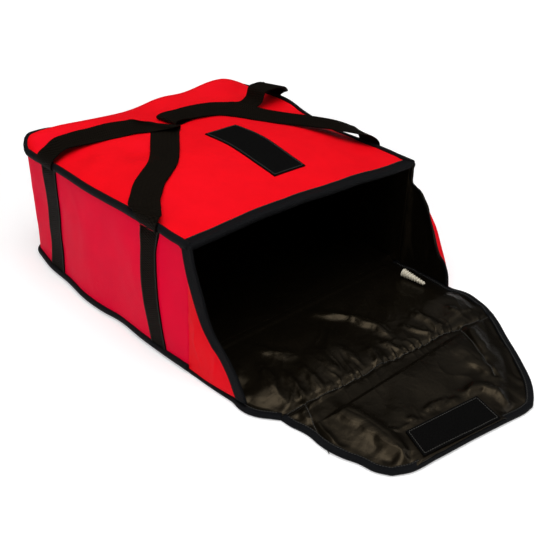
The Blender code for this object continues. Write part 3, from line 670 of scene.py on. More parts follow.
def lining_z(x, y):
    """Height of the wrinkled lining over flap and tongue."""
    rim = distance_to(x, y, rim_line())
    crease = distance_to(x, y, spread(CREASE, 24))
    slant = np.minimum(
        distance_to(x, y, LEFT_DIAGONAL), distance_to(x, y, RIGHT_DIAGONAL)
    )
    hinge = ease((y + 0.245) / -0.060)
    height = LINING_RIM_Z + LINING_RISE * ease(rim / 0.050)
    for points, lift, wide in LINING_FOLDS:
        away, share = next_to_line(x, y, points)
        ends = ease(share / 0.25) * ease((1 - share) / 0.25)
        uneven = away / wide + 0.35 * grain(x + 2, y + 2, 0.016, 40)
        height = height + lift * (0.35 + 0.65 * ends) * np.exp(-(uneven**2) * 1.2)
    broad = grain(x + 1, y + 1, 0.085, 41)
    middling = grain(x * 0.8 + y * 0.6 + 3, (y * 0.8 - x * 0.6) * 2.2 + 3, 0.060, 42)
    small = folds(x, y, 52, 0.070, 0.020, 45) - 0.35
    height = height + hinge * (0.0030 * broad + 0.0022 * middling + 0.0010 * small)
    near = np.exp(-crease / 0.017)
    height = height + hinge * 0.0046 * near * (folds(x, y, 62, 0.045, 0.015, 46) - 0.3)
    border = np.exp(-rim / 0.020) * (1 - np.exp(-rim / 0.004))
    height = height + 0.0034 * border * grain(x + 1, y + 1, 0.014, 47)
    under = ease((1.35 - patch_share(x, y)) / 0.30)
    height = height * (1 - under) + PATCH_BED_Z * under
    ring = np.exp(-(((patch_share(x, y) - 1.5) / 0.30) ** 2))
    height = height + 0.0026 * ring * grain(x + 1, y + 1, 0.013, 48)
    height = height - 0.0058 * np.exp(-((crease / 0.0050) ** 2))
    height = height - 0.0034 * np.exp(-((slant / 0.0042) ** 2))
    height = height + 0.0014 * ease((y + 0.246) / 0.010)
    at_binding = ease((y + 0.462) / 0.012) * ease((-0.414 - y) / 0.012)
    limit = 0.0170 - 0.0085 * at_binding
    height = np.minimum(height, limit + 0.35 * (height - limit))
    return np.clip(height, LINING_LEAST_Z, LINING_MOST_Z)


def lining_low(x, y):
    """Lowest of the lining round each place, which the wadding stays under."""
    low = lining_z(x, y)
    for dx, dy in ((-0.004, 0), (0.004, 0), (0, -0.004), (0, 0.004)):
        low = np.minimum(low, lining_z(x + dx, y + dy))
    return low


# Meshes


def deselect():
    """Leaves edit mode and selects nothing."""
    if bpy.context.mode != "OBJECT":
        bpy.ops.object.mode_set(mode="OBJECT")
    bpy.ops.object.select_all(action="DESELECT")


def select_only(obj):
    """Makes this the active object and the only one selected."""
    deselect()
    bpy.context.view_layer.objects.active = obj
    obj.select_set(True)


def points_of(obj):
    """The points of a mesh, one row each."""
    places = np.empty(len(obj.data.vertices) * 3, np.float32)
    obj.data.vertices.foreach_get("co", places)
    return places.reshape(-1, 3)


def put_points(obj, places):
    """Moves the points of a mesh to these places."""
    obj.data.vertices.foreach_set("co", np.asarray(places, np.float32).ravel())
    obj.data.update()


def apply_modifier(obj, kind, **values):
    """Adds a modifier with these values and applies it."""
    select_only(obj)
    made = obj.modifiers.new(kind.lower(), kind)
    for key, value in values.items():
        setattr(made, key, value)
    bpy.ops.object.modifier_apply(modifier=made.name)


def grid_sheet(name, across, along, place, flat=(1.0, 1.0), flip=False):
    """A grid shaped by place(u, v), its UV map in metres of the flat cloth."""
    deselect()
    bpy.ops.mesh.primitive_grid_add(x_subdivisions=across, y_subdivisions=along, size=1)
    obj = bpy.context.object
    obj.name = name
    mesh = obj.data
    mesh.name = name
    places = points_of(obj).astype(float)
    u = np.clip(places[:, 0] + 0.5, 0, 1)
    v = np.clip(places[:, 1] + 0.5, 0, 1)
    put_points(obj, place(u, v))
    layer = mesh.uv_layers.active.data
    uv = np.empty(len(layer) * 2, np.float32)
    layer.foreach_get("uv", uv)
    uv = uv.reshape(-1, 2) * np.array(flat, np.float32)
    layer.foreach_set("uv", uv.ravel())
    if flip:
        mesh.flip_normals()
    mesh.update()
    smooth(obj)
    return obj


def smooth(obj):
    """Shades a mesh smooth."""
    obj.data.polygons.foreach_set("use_smooth", [True] * len(obj.data.polygons))
    obj.data.update()


def sink(obj, depth):
    """Moves a sheet inwards along its own normals, by one depth or by one for each point."""
    normal = np.empty(len(obj.data.vertices) * 3, np.float32)
    obj.data.vertex_normals.foreach_get("vector", normal)
    depth = np.broadcast_to(depth, len(obj.data.vertices))[:, None]
    put_points(obj, points_of(obj) - normal.reshape(-1, 3) * depth)
    return obj


def flatten_under(obj, height):
    """Closes a sheet downwards to a flat underside at this height."""
    upper = points_of(obj)
    under = upper.copy()
    under[:, 2] = np.minimum(height, upper[:, 2] - 0.0002)
    apply_modifier(obj, "SOLIDIFY", thickness=0.002, offset=1.0, use_even_offset=False)
    first, second = points_of(obj).reshape(2, -1, 3)[:, :, 2].mean(axis=1)
    put_points(obj, np.concatenate((upper, under) if first > second else (under, upper)))
    return obj


def close_tube(obj):
    """Joins the long edges of a rolled grid and closes its ends."""
    select_only(obj)
    bpy.ops.object.mode_set(mode="EDIT")
    for step, values in (
        (bpy.ops.mesh.remove_doubles, {"threshold": 0.000002}),
        (bpy.ops.mesh.fill_holes, {"sides": 0}),
        (bpy.ops.mesh.normals_make_consistent, {"inside": False}),
    ):
        bpy.ops.mesh.select_all(action="SELECT")
        step(**values)
    bpy.ops.object.mode_set(mode="OBJECT")
    smooth(obj)


def thicken(obj, thickness):
    """Gives a sheet its thickness, inwards."""
    apply_modifier(obj, "SOLIDIFY", thickness=thickness, offset=-1.0, use_even_offset=False)
    return obj


def swept(name, path, side, up, section, flat_width):
    """A closed section carried along a path. section is pairs of reach to side and up."""
    path, side, up = (np.asarray(item, float) for item in (path, side, up))
    rows, ring = len(path), len(section)
    section = np.asarray(section, float)

    def place(u, v):
        i = np.rint(v * (rows - 1)).astype(int)
        j = np.rint(u * ring).astype(int) % ring
        return path[i] + side[i] * section[j, :1] + up[i] * section[j, 1:]

    length = float(np.linalg.norm(np.diff(path, axis=0), axis=1).sum())
    obj = grid_sheet(name, ring, rows - 1, place, flat=(flat_width, length))
    close_tube(obj)
    return obj


def unit(vectors):
    """These vectors at length 1."""
    vectors = np.asarray(vectors, float)
    return vectors / np.maximum(np.linalg.norm(vectors, axis=-1, keepdims=True), 1e-9)


def heading(path):
    """Unit directions along a path."""
    return unit(np.gradient(np.asarray(path, float), axis=0))


def oval(across, high, count=14):
    """Section of a cord or thread."""
    angle = np.arange(count) / count * 2 * np.pi
    return np.stack([across * np.cos(angle), high * np.sin(angle)], -1)


def folded_tape(reach, thick, bulge=1.18):
    """Section of a tape folded round an edge: a rounded nose and two arms that taper."""
    half = thick / 2
    nose = []
    for step in range(9):
        angle = math.pi / 2 + math.pi * step / 8
        nose.append((half * 0.9 * math.cos(angle), half * bulge * math.sin(angle)))
    lower = [(reach * 0.45, -half * 1.02), (reach * 0.93, -half * 0.98), (reach, -half * 0.80)]
    upper = [(reach, half * 0.80), (reach * 0.93, half * 0.98), (reach * 0.45, half * 1.02)]
    return nose + lower + upper


def stitch_row(name, path, up, pitch=0.0040, width=0.00075):
    """Thread along a line, which dips into the cloth between its stitches."""
    path, up = np.asarray(path, float), np.asarray(up, float)
    steps = np.linalg.norm(np.diff(path, axis=0), axis=1)
    run = np.concatenate(([0.0], np.cumsum(steps)))
    count = max(2, round(run[-1] / pitch))
    want = np.linspace(0, run[-1], count * 6 + 1)
    middle = np.stack([np.interp(want, run, path[:, k]) for k in range(3)], -1)
    high = unit(np.stack([np.interp(want, run, up[:, k]) for k in range(3)], -1))
    across = unit(np.cross(heading(middle), high))
    rise = np.sin(np.pi * (np.arange(len(want)) % 6) / 6)
    radius = (width * (0.30 + 0.70 * np.sqrt(rise)))[:, None]
    middle = middle + high * (width * (rise - 0.85))[:, None]
    return swept(name, middle, across * radius, high * radius, oval(1.0, 1.0, 6), 0.003)


def seam_thread(name, rows):
    """Rows of stitches joined to one piece."""
    made = [stitch_row(name, *row) for row in rows]
    deselect()
    for obj in made:
        obj.select_set(True)
    bpy.context.view_layer.objects.active = made[0]
    if len(made) > 1:
        bpy.ops.object.join()
    finish_piece(made[0], surface("cloth_thread"))
    return made[0]


def finish_piece(obj, material):
    """Gives a piece its material."""
    obj.data.materials.clear()
    obj.data.materials.append(material)


# Materials


def new_group(name, inputs, outputs):
    """An empty shader node group with these sockets."""
    made = bpy.data.node_groups.new(name, "ShaderNodeTree")
    for label, kind, default in inputs:
        socket = made.interface.new_socket(name=label, in_out="INPUT", socket_type=kind)
        if default is not None:
            socket.default_value = default
    for label, kind in outputs:
        made.interface.new_socket(name=label, in_out="OUTPUT", socket_type=kind)
    return made, made.nodes.new("NodeGroupInput"), made.nodes.new("NodeGroupOutput")


def math_node(tree, operation, first, second=None, third=None):
    """Result of a math node whose inputs are sockets or numbers."""
    node = tree.nodes.new("ShaderNodeMath")
    node.operation = operation
    for socket, value in zip(node.inputs, (first, second, third)):
        if value is None:
            continue
        if isinstance(value, (int, float)):
            socket.default_value = value
        else:
            tree.links.new(value, socket)
    return node.outputs[0]


def weave_group():
    """Plain weave: threads over and under, from cloth coordinates in metres."""
    if "cloth_weave" in bpy.data.node_groups:
        return bpy.data.node_groups["cloth_weave"]
    tree, start, end = new_group(
        "cloth_weave",
        (
            ("Vector", "NodeSocketVector", None),
            ("Across pitch", "NodeSocketFloat", 0.0006),
            ("Along pitch", "NodeSocketFloat", 0.0006),
            ("Slant", "NodeSocketFloat", 0.0),
        ),
        (("Height", "NodeSocketFloat"),),
    )
    parts = tree.nodes.new("ShaderNodeSeparateXYZ")
    tree.links.new(start.outputs["Vector"], parts.inputs[0])
    x, y = parts.outputs[:2]
    slanted = math_node(tree, "MULTIPLY_ADD", y, start.outputs["Slant"], x)
    across = math_node(tree, "DIVIDE", slanted, start.outputs["Across pitch"])
    along = math_node(tree, "DIVIDE", y, start.outputs["Along pitch"])
    first = math_node(tree, "SINE", math_node(tree, "MULTIPLY", across, 2 * math.pi))
    second = math_node(tree, "SINE", math_node(tree, "MULTIPLY", along, 2 * math.pi))
    crossed = math_node(tree, "MULTIPLY", first, second)
    tree.links.new(math_node(tree, "MULTIPLY_ADD", crossed, 0.5, 0.5), end.inputs["Height"])
    return tree


def rumple_shade_group():
    """Soft changes of painted shade over a cloth, darker in the dips of the small rumples that go with
    them and lighter on their rises.
    """
    if "cloth_handling" in bpy.data.node_groups:
        return bpy.data.node_groups["cloth_handling"]
    tree, start, end = new_group(
        "cloth_handling",
        (
            ("Vector", "NodeSocketVector", None),
            ("Colour", "NodeSocketColor", (0.5, 0.5, 0.5, 1)),
            ("Shade", "NodeSocketFloat", 0.12),
            ("Scale", "NodeSocketFloat", 14.0),
        ),
        (("Colour", "NodeSocketColor"), ("Rumple", "NodeSocketFloat")),
    )
    broad = tree.nodes.new("ShaderNodeTexNoise")
    broad.inputs["Detail"].default_value = 3.0
    broad.inputs["Roughness"].default_value = 0.55
    broad.inputs["Distortion"].default_value = 0.6
    tree.links.new(start.outputs["Vector"], broad.inputs["Vector"])
    tree.links.new(start.outputs["Scale"], broad.inputs["Scale"])
    # Colour lighter where the rumples rise and darker in their dips: painted shade
    centred = math_node(tree, "SUBTRACT", broad.outputs["Fac"], 0.5)
    swing = math_node(tree, "MULTIPLY", start.outputs["Shade"], 2.0)
    gain = math_node(tree, "MULTIPLY_ADD", centred, swing, 1.0)
    mixed = tree.nodes.new("ShaderNodeVectorMath")
    mixed.operation = "SCALE"
    tree.links.new(start.outputs["Colour"], mixed.inputs[0])
    tree.links.new(gain, mixed.inputs["Scale"])
    tree.links.new(mixed.outputs[0], end.inputs["Colour"])
    tree.links.new(broad.outputs["Fac"], end.inputs["Rumple"])
    return tree


def new_material(name, colour, roughness, specular=0.5):
    """A material, its node tree and its shader."""
    made = bpy.data.materials.new(name)
    made.use_nodes = True
    made.diffuse_color = (*colour, 1)
    shader = made.node_tree.nodes["Principled BSDF"]
    shader.inputs["Roughness"].default_value = roughness
    shader.inputs["Specular IOR Level"].default_value = specular
    return made, made.node_tree, shader


def shared_effect(tree, group, vector, **values):
    """A node with one of the node groups, its inputs set."""
    node = tree.nodes.new("ShaderNodeGroup")
    node.node_tree = group
    for label, value in values.items():
        node.inputs[label.replace("_", " ").capitalize()].default_value = value
    tree.links.new(vector, node.inputs["Vector"])
    return node.outputs


def bumped(tree, height, distance, normal=None):
    """Normal of a surface with bumps of this height in metres."""
    bump = tree.nodes.new("ShaderNodeBump")
    bump.inputs["Strength"].default_value = 1.0
    bump.inputs["Distance"].default_value = distance
    tree.links.new(height, bump.inputs["Height"])
    if normal is not None:
        tree.links.new(normal, bump.inputs["Normal"])
    return bump.outputs["Normal"]


def cloth_material(
    name,
    colour,
    roughness,
    pitch=(0.0006, 0.0006),
    slant=0.0,
    weave_depth=0.00008,
    rumple_depth=0.0004,
    rumple_scale=30.0,
    shade=0.12,
    sheen=(0.0, (1, 1, 1), 0.5),
    specular=0.5,
    specular_tint=(1, 1, 1),
    on_cloth=True,
    rib_painted_shade=0.0,
):
    """Woven fabric: colour that varies softly with painted shade in the dips of the rumples and in the
    grooves of the weave, a weave and small rumples.
    """
    made, tree, shader = new_material(name, colour, roughness, specular)
    shader.inputs["Specular Tint"].default_value = (*specular_tint, 1)
    weight, sheen_tint, sheen_roughness = sheen
    shader.inputs["Sheen Weight"].default_value = weight
    shader.inputs["Sheen Tint"].default_value = (*sheen_tint, 1)
    shader.inputs["Sheen Roughness"].default_value = sheen_roughness
    place = tree.nodes.new("ShaderNodeTexCoord").outputs
    weave = shared_effect(
        tree,
        weave_group(),
        place["UV" if on_cloth else "Object"],
        across_pitch=pitch[0],
        along_pitch=pitch[1],
        slant=slant,
    )
    painted_rumple_shade = shared_effect(
        tree,
        rumple_shade_group(),
        place["Object"],
        colour=(*colour, 1),
        shade=shade,
        scale=rumple_scale,
    )
    ribs = tree.nodes.new("ShaderNodeVectorMath")
    ribs.operation = "SCALE"
    tree.links.new(painted_rumple_shade["Colour"], ribs.inputs[0])
    # Colour darker in the weave's grooves and lighter on its ribs: painted shade and painted highlight
    gain = math_node(tree, "MULTIPLY_ADD", weave["Height"], 2 * rib_painted_shade, 1 - rib_painted_shade)
    tree.links.new(gain, ribs.inputs["Scale"])
    tree.links.new(ribs.outputs[0], shader.inputs["Base Color"])
    rumple = bumped(tree, painted_rumple_shade["Rumple"], rumple_depth)
    fine = bumped(tree, weave["Height"], weave_depth, rumple)
    tree.links.new(fine, shader.inputs["Normal"])
    return made


def pile_material(name, colour):
    """Hook or loop pile: tiny matt tufts."""
    made, tree, shader = new_material(name, colour, 0.95, 0.05)
    place = tree.nodes.new("ShaderNodeTexCoord")
    tufts = tree.nodes.new("ShaderNodeTexVoronoi")
    tufts.inputs["Scale"].default_value = 900.0
    tree.links.new(place.outputs["UV"], tufts.inputs["Vector"])
    ramp = tree.nodes.new("ShaderNodeMix")
    ramp.data_type = "RGBA"
    ramp.inputs[6].default_value = (*(1.9 * value for value in colour), 1)
    ramp.inputs[7].default_value = (*(0.5 * value for value in colour), 1)
    tree.links.new(tufts.outputs["Distance"], ramp.inputs[0])
    tree.links.new(ramp.outputs[2], shader.inputs["Base Color"])
    tree.links.new(bumped(tree, tufts.outputs["Distance"], 0.0004), shader.inputs["Normal"])
    return made


def moulded_material(name, colour):
    """Flexible moulded plastic with a faint grain, and colour that varies softly with painted shade in
    the dips of its faint rumples.
    """
    made, tree, shader = new_material(name, colour, 0.42)
    place = tree.nodes.new("ShaderNodeTexCoord")
    painted_rumple_shade = shared_effect(
        tree,
        rumple_shade_group(),
        place.outputs["Object"],
        colour=(*colour, 1),
        shade=0.10,
        scale=50.0,
    )
    tree.links.new(painted_rumple_shade["Colour"], shader.inputs["Base Color"])
    tree.links.new(bumped(tree, painted_rumple_shade["Rumple"], 0.0001), shader.inputs["Normal"])
    return made


NYLON = {
    "rumple_scale": 16.0,
    "shade": 0.10,
    "sheen": (0.02, (1.0, 0.10, 0.60), 0.40),
    "specular_tint": (1.0, 0.10, 0.90),
}

# Each cloth: the name of its colour, its roughness and what else is its own
CLOTHS = {
    "cloth_red_nylon": ("red", 0.50, {**NYLON, "specular": 0.11}),
    # The walls' copy of the red nylon: bluer colour and less specular, painted cool shade
    "cloth_crimson_nylon": ("band", 0.50, {**NYLON, "specular": 0.06}),
    "cloth_glossy_lining": (
        "lining",
        0.30,
        {
            "pitch": (0.0003, 0.0003),
            "weave_depth": 0.00002,
            "rumple_depth": 0.0010,
            "rumple_scale": 40.0,
            "shade": 0.35,
            "specular": 0.25,
            "specular_tint": (1.0, 0.78, 0.50),
        },
    ),
    "cloth_tape": (
        "tape",
        0.55,
        {
            "pitch": (0.0014, 0.0010),
            "slant": 0.7,
            "weave_depth": 0.00025,
            "rumple_depth": 0.0006,
            "rumple_scale": 90.0,
            "shade": 0.30,
            "specular": 0.08,
            "specular_tint": (0.90, 0.95, 1.0),
            "rib_painted_shade": 0.40,
        },
    ),
    "cloth_webbing": (
        "webbing",
        0.55,
        {
            "pitch": (0.0064, 0.0036),
            "weave_depth": 0.0011,
            "rumple_scale": 40.0,
            "shade": 0.25,
            "specular": 0.045,
            "specular_tint": (1.0, 0.85, 0.60),
            # Strong painted shade in the grooves of the webbing's ribs
            "rib_painted_shade": 0.85,
        },
    ),
    "cloth_thread": ("thread", 0.55, {"on_cloth": False, "shade": 0.2}),
    "cloth_wadding": (
        "wadding",
        0.95,
        {"on_cloth": False, "weave_depth": 0, "rumple_scale": 200},
    ),
}


def surface(name):
    """The bag's materials, each made the first time it is used."""
    if name in bpy.data.materials:
        return bpy.data.materials[name]
    if name == "cloth_pile":
        return pile_material(name, colours().pile)
    if name == "moulded_cream":
        return moulded_material(name, colours().cream)
    colour, roughness, values = CLOTHS[name]
    return cloth_material(name, getattr(colours(), colour), roughness, **values)


# Operators


class BagOperator:
    """What every operator of the bag shares."""

    bl_options = {"REGISTER"}

    def execute(self, context):
        self.model()
        deselect()
        return {"FINISHED"}


class PIZZABAG_OT_top(BagOperator, bpy.types.Operator):
    """Puffed red top, its wadding and its lining"""

    bl_idname = "pizza_bag.top"
    bl_label = "Top"

    def model(self):
        bag = sizes()
        flat = (2.04 * bag.half_width, 2.04 * bag.half_depth)

        def place(u, v):
            x, y = top_place(u, v)
            return np.stack([x, y, top_z(x, y)], -1)

        cover = thicken(grid_sheet("top_cover", 150, 150, place, flat), bag.skin)
        finish_piece(cover, surface("cloth_red_nylon"))
        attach(cover, "bag_body")
        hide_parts("top_outer")

        def inner(u, v):
            x, y = top_place(u, v)
            x, y = x * 0.955, y * 0.965
            return np.stack([x, y, top_z(x, y) - bag.skin - 0.0012], -1)

        pad = thicken(grid_sheet("top_padding", 60, 60, inner, flat), bag.wadding * 0.82)
        finish_piece(pad, surface("cloth_wadding"))
        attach(pad, "bag_body")
        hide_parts("top_wadding")

        def under(u, v):
            x, y = top_place(u, v)
            drop = bag.skin + bag.wadding + 0.0006
            drop = drop * (0.45 + 0.55 * ease((y + bag.half_depth) / 0.035))
            x, y = x * 0.965, y * 0.975 - 0.003
            wrinkle = WRINKLE * (folds(x, y, 8, 0.16, 0.035, 51) - 0.3)
            z = top_z(x, y) - drop - 0.0006 - wrinkle * ease((y + bag.half_depth) / 0.03)
            return np.stack([x, y, z], -1)

        ceiling = thicken(grid_sheet("top_inner_lining", 110, 110, under, flat), bag.lining)
        finish_piece(ceiling, surface("cloth_glossy_lining"))
        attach(ceiling, "bag_body")
        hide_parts("top_lining")


class PIZZABAG_OT_walls(BagOperator, bpy.types.Operator):
    """Red band round three sides, its wadding and its lining"""

    bl_idname = "pizza_bag.walls"
    bl_label = "Walls"

    def model(self):
        bag = sizes()
        flat = BAND_FLAT
        skin = grid_sheet("wall_band", 300, 44, wall_place, flat, flip=True)
        thicken(skin, bag.skin)
        # The band wears the red nylon's copy with painted cool shade
        finish_piece(skin, surface("cloth_crimson_nylon"))
        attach(skin, "bag_body")
        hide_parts("band_outer")
        corner = bag.corner / band_length()
        side = (2 * bag.half_depth - bag.corner) / band_length()
        for name, first, last in (
            ("left", 0.036, side - corner),
            ("rear", side + 2.2 * corner, 1 - side - 2.2 * corner),
            ("right", 1 - side + corner, 0.964),
        ):

            def place(u, v, first=first, last=last):
                return wall_place(first + (last - first) * u, 0.06 + 0.86 * v)

            pad = grid_sheet("wall_" + name + "_padding", 60, 20, place, flip=True)
            sink(pad, bag.skin + 0.0004)
            thicken(pad, bag.wadding * 0.9)
            finish_piece(pad, surface("cloth_wadding"))
            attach(pad, "bag_body")
            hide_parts(name + "_wall_wadding")

        def inner(u, v):
            return wall_place(0.0006 + 0.9988 * u, 0.004 + 0.956 * v)

        lining = grid_sheet("wall_inner_lining", 260, 40, inner, flat, flip=True)
        places = points_of(lining)
        full = ease((places[:, 1] + bag.half_depth + 0.002) / 0.046)
        deep = (bag.skin + bag.wadding + 0.0004) * (0.15 + 0.85 * full)
        wrinkle = folds(places[:, 0] + places[:, 1], places[:, 2], 80, 0.14, 0.030, 52) - 0.3
        sink(lining, deep + WRINKLE * wrinkle * full)
        thicken(lining, bag.lining)
        finish_piece(lining, surface("cloth_glossy_lining"))
        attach(lining, "bag_body")
        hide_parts("band_lining")


class PIZZABAG_OT_base(BagOperator, bpy.types.Operator):
    """Red base on the floor, its wadding and the lining inside"""

    bl_idname = "pizza_bag.base"
    bl_label = "Base"

    def model(self):
        bag = sizes()
        flat = (2 * bag.half_width, 2 * bag.half_depth)

        def floor_place(u, v, inset, height):
            x, y = top_place(u, v)
            out = 1 - inset / bag.half_width
            foot = wall_bow(
                np.sign(x) * bag.half_width, y, np.sign(x), np.zeros_like(x), np.zeros_like(x)
            )
            wide = 1 + foot / bag.half_width
            z = np.broadcast_to(height, x.shape)
            return np.stack([x * out * wide, y * out, z], -1)

        def outer(u, v):
            return floor_place(u, v, 0.002, 0.0012) + np.stack(
                [0 * u, 0 * u, 0.0004 * grain(u * 9, v * 9, 1, 61)], -1
            )

        skin = grid_sheet("base_skin", 60, 60, outer, flat, flip=True)
        thicken(skin, bag.skin)
        finish_piece(skin, surface("cloth_red_nylon"))
        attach(skin, "bag_body")
        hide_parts("base_outer")

        pad = grid_sheet("base_padding", 20, 20, lambda u, v: floor_place(u, v, 0.022, 0.0096))
        thicken(pad, 0.0070)
        finish_piece(pad, surface("cloth_wadding"))
        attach(pad, "bag_body")
        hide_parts("base_wadding")

        def inner(u, v):
            place = floor_place(u, v, 0.003, 0.0138)
            place[:, 1] *= 0.970
            x, y = place[:, 0], place[:, 1]
            rumple = folds(x, y, -24, 0.15, 0.045, 62) - 0.3
            free = ease((bag.half_width - np.abs(x)) / 0.04) * ease((y + 0.234) / 0.02)
            place[:, 2] += WRINKLE * rumple * free
            front = ease((-0.212 - y) / 0.014)
            place[:, 2] += front * (np.minimum(lining_z(x, y - 0.004), 0.0142) - 0.0002 - place[:, 2])
            return place

        lining = grid_sheet("base_inner_lining", 120, 120, inner, flat)
        thicken(lining, bag.lining)
        finish_piece(lining, surface("cloth_glossy_lining"))
        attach(lining, "bag_body")
        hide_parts("base_lining")
        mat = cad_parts["heating_mat"]
        mat.data.materials.clear()
        mat.data.materials.append(surface("cloth_wadding"))


class PIZZABAG_OT_piping(BagOperator, bpy.types.Operator):
    """Piping of the two seams and the binding of the mouth's top edge"""

    bl_idname = "pizza_bag.piping"
    bl_label = "Piping"

    def model(self):
        bag = sizes()
        tape = surface("cloth_tape")
        share = np.linspace(0, 1, 260)
        x, y, nx, ny = body_line(share)
        run = share * BAND_FLAT[0]
        for name, node, t, high in (
            ("top_seam_piping", "top_piping", 1.0, bag.piping),
            ("base_seam_piping", "bottom_piping", 0.0, bag.piping * 0.92),
        ):
            bow = wall_bow(x, y, nx, ny, np.full_like(x, t)) + 0.0008
            uneven = 0.0007 * grain(run + 2, run * 0, 0.030, 71 + int(t))
            height = seam_z(x, y) if t else np.full_like(x, high * 0.5 + 0.0016)
            path = np.stack([x + nx * bow, y + ny * bow, height + t * uneven], -1)
            side = np.stack([nx, ny, 0.35 * t + 0 * nx], -1)
            up = unit(np.stack([-0.35 * t * nx, -0.35 * t * ny, 1 + 0 * nx], -1))
            cord = swept(name, path, unit(side), up, oval(PIPING_REACH, high / 2), 0.030)
            finish_piece(cord, tape)
            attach(cord, "bag_body")
            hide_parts(node)

        across = np.linspace(-bag.half_width - 0.003, bag.half_width + 0.003, 150)
        front = -bag.half_depth + 0.001 + 0 * across
        thick = MOUTH_TAPE_THICK
        height = top_z(across, front) - thick * 0.5 + 0.0012
        height = height + 0.0006 * grain(across + 2, front, 0.025, 73)
        path = np.stack([across, front, height], -1)
        rise = (top_z(across, front + 0.02) - top_z(across, front)) / 0.02
        side = unit(np.stack([0 * across, 1 + 0 * across, rise * 0.9], -1))
        up = unit(np.cross(heading(path), side))
        bind = swept(
            "mouth_binding", path, side, up, folded_tape(bag.tape, thick), 0.045
        )
        finish_piece(bind, tape)
        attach(bind, "bag_body")
        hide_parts("mouth_top_binding")
        line = path + side * (bag.tape * 0.84) + up * (thick * 0.5)
        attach(seam_thread("mouth_stitches", [(line[4:-4], up[4:-4])]), "bag_body")


def wing_rows(side, t):
    """Wall end and free edge of a wing at share t of its height."""
    bag = sizes()
    sign = -1 if side == "left" else 1
    edge = line_through(LEFT_EDGE if side == "left" else RIGHT_EDGE, 1 - t)
    deep = np.full_like(t, -bag.half_depth)
    wide = np.full_like(t, sign * bag.half_width)
    bow = wall_bow(wide, deep, np.full_like(t, float(sign)), 0 * t, t)
    top = seam_z(wide, deep)
    height = BAND_FOOT_Z + (top - BAND_FOOT_Z) * t
    wall = np.stack([wide + sign * bow, deep + 0.003, height], -1)
    return wall, edge


def wing_place(side):
    """Places of a wing for the share from wall to free edge and the share of its height."""
    sign = -1 if side == "left" else 1

    def place(u, v):
        wall, edge = wing_rows(side, v)
        split = 1.0 if side == "left" else 0.74
        across = np.clip(u / split, 0, 1)[:, None]
        point = wall * (1 - across) + edge * across
        belly = 4 * across[:, 0] * (1 - across[:, 0]) * 4 * v * (1 - v)
        near = grain(point[:, 1] + 4, point[:, 2] + 4, 0.045, 81 if sign < 0 else 82)
        crease = folds(point[:, 1], point[:, 2], 112, 0.12, 0.030, 83) - 0.3
        foot = np.exp(-((v / 0.12) ** 2)) * across[:, 0] * (1 - across[:, 0]) * 4
        point[:, 0] += sign * (0.0040 * belly + 0.0025 * foot)
        point[:, 0] += sign * belly * (0.0030 * near + 0.0035 * crease)
        if side == "right":
            past = np.clip((u - split) / (1 - split), 0, 1)
            wide = smooth_curve(edge[:, 2], STRIP_Z, STRIP_WIDTH)
            curl = past * 1.9
            point[:, 0] -= wide * np.sin(curl) / 1.1
            point[:, 1] -= wide * 0.25 * (1 - np.cos(curl)) * (past < 2)
            point[:, 2] -= wide * 0.35 * past
        return point

    return place


class PIZZABAG_OT_wings(BagOperator, bpy.types.Operator):
    """Side wings between the walls and the flap, with lining and bound edge"""

    bl_idname = "pizza_bag.wings"
    bl_label = "Wings"

    def model(self):
        bag = sizes()
        for side, sign in (("left", -1), ("right", 1)):
            place = wing_place(side)
            flat = WING_FLAT
            skin = grid_sheet(side + "_wing_skin", 44, 80, place, flat, flip=side == "right")
            skin.data.update()
            lining = grid_sheet(side + "_wing_inner", 44, 80, place, flat, flip=side == "right")
            near_wall = ease((points_of(lining)[:, 1] + bag.half_depth + 0.012) / 0.012)
            sink(lining, bag.skin + 0.0003 + 0.0016 * near_wall)
            thicken(skin, bag.skin)
            thicken(lining, bag.lining)
            finish_piece(skin, surface("cloth_red_nylon"))
            finish_piece(lining, surface("cloth_glossy_lining"))
            rows = np.linspace(0.0, 1.0, 70)
            edge = place(np.ones(70), rows)
            back = place(np.full(70, 0.90), rows)
            reach = unit(back - edge)
            up = unit(np.cross(heading(edge), reach))
            section = folded_tape(*(LEFT_WING_TAPE if side == "left" else RIGHT_WING_TAPE))
            bind = swept(side + "_wing_tape", edge - reach * 0.001, reach, up, section, 0.040)
            finish_piece(bind, surface("cloth_tape"))
            for obj, node in ((skin, "outer"), (lining, "lining"), (bind, "binding")):
                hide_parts(side + "_wing_" + node)
                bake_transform(obj)


def floor_panel(part, spot, pad_part, pad_grid, lining_grid, flat, bodies, bend, **more):
    """Fabric, wadding and wrinkled lining of a panel on the floor. Returns its wadding."""
    bag = sizes()

    def laid(height, from_u=0, by_u=1, from_v=0, by_v=1):
        def place(u, v):
            x, y = spot(from_u + by_u * u, from_v + by_v * v).T
            return np.stack([x, y, height(x, y)], -1)

        return place

    skin = grid_sheet(part + "_skin", 60, 90, laid(lambda x, y: FLOOR_FABRIC_Z + 0 * x), flat)
    thicken(skin, bag.skin)
    finish_piece(skin, surface("cloth_red_nylon"))
    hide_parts(part + "_outer")
    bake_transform(skin)

    def core(x, y):
        return np.maximum(lining_low(x, y) - PADDING_BELOW, PADDING_LEAST_Z)

    pad = grid_sheet(part + "_padding", *pad_grid, laid(core, *pad_part), flat)
    flatten_under(pad, PADDING_UNDER_Z)
    finish_piece(pad, surface("cloth_wadding"))
    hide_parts(part + "_wadding")

    lining = grid_sheet(part + "_inner_lining", *lining_grid, laid(lining_z), flat, flip=True)
    thicken(lining, bag.lining)
    finish_piece(lining, surface("cloth_glossy_lining"))
    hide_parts(part + "_lining")
    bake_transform(lining)
    return pad


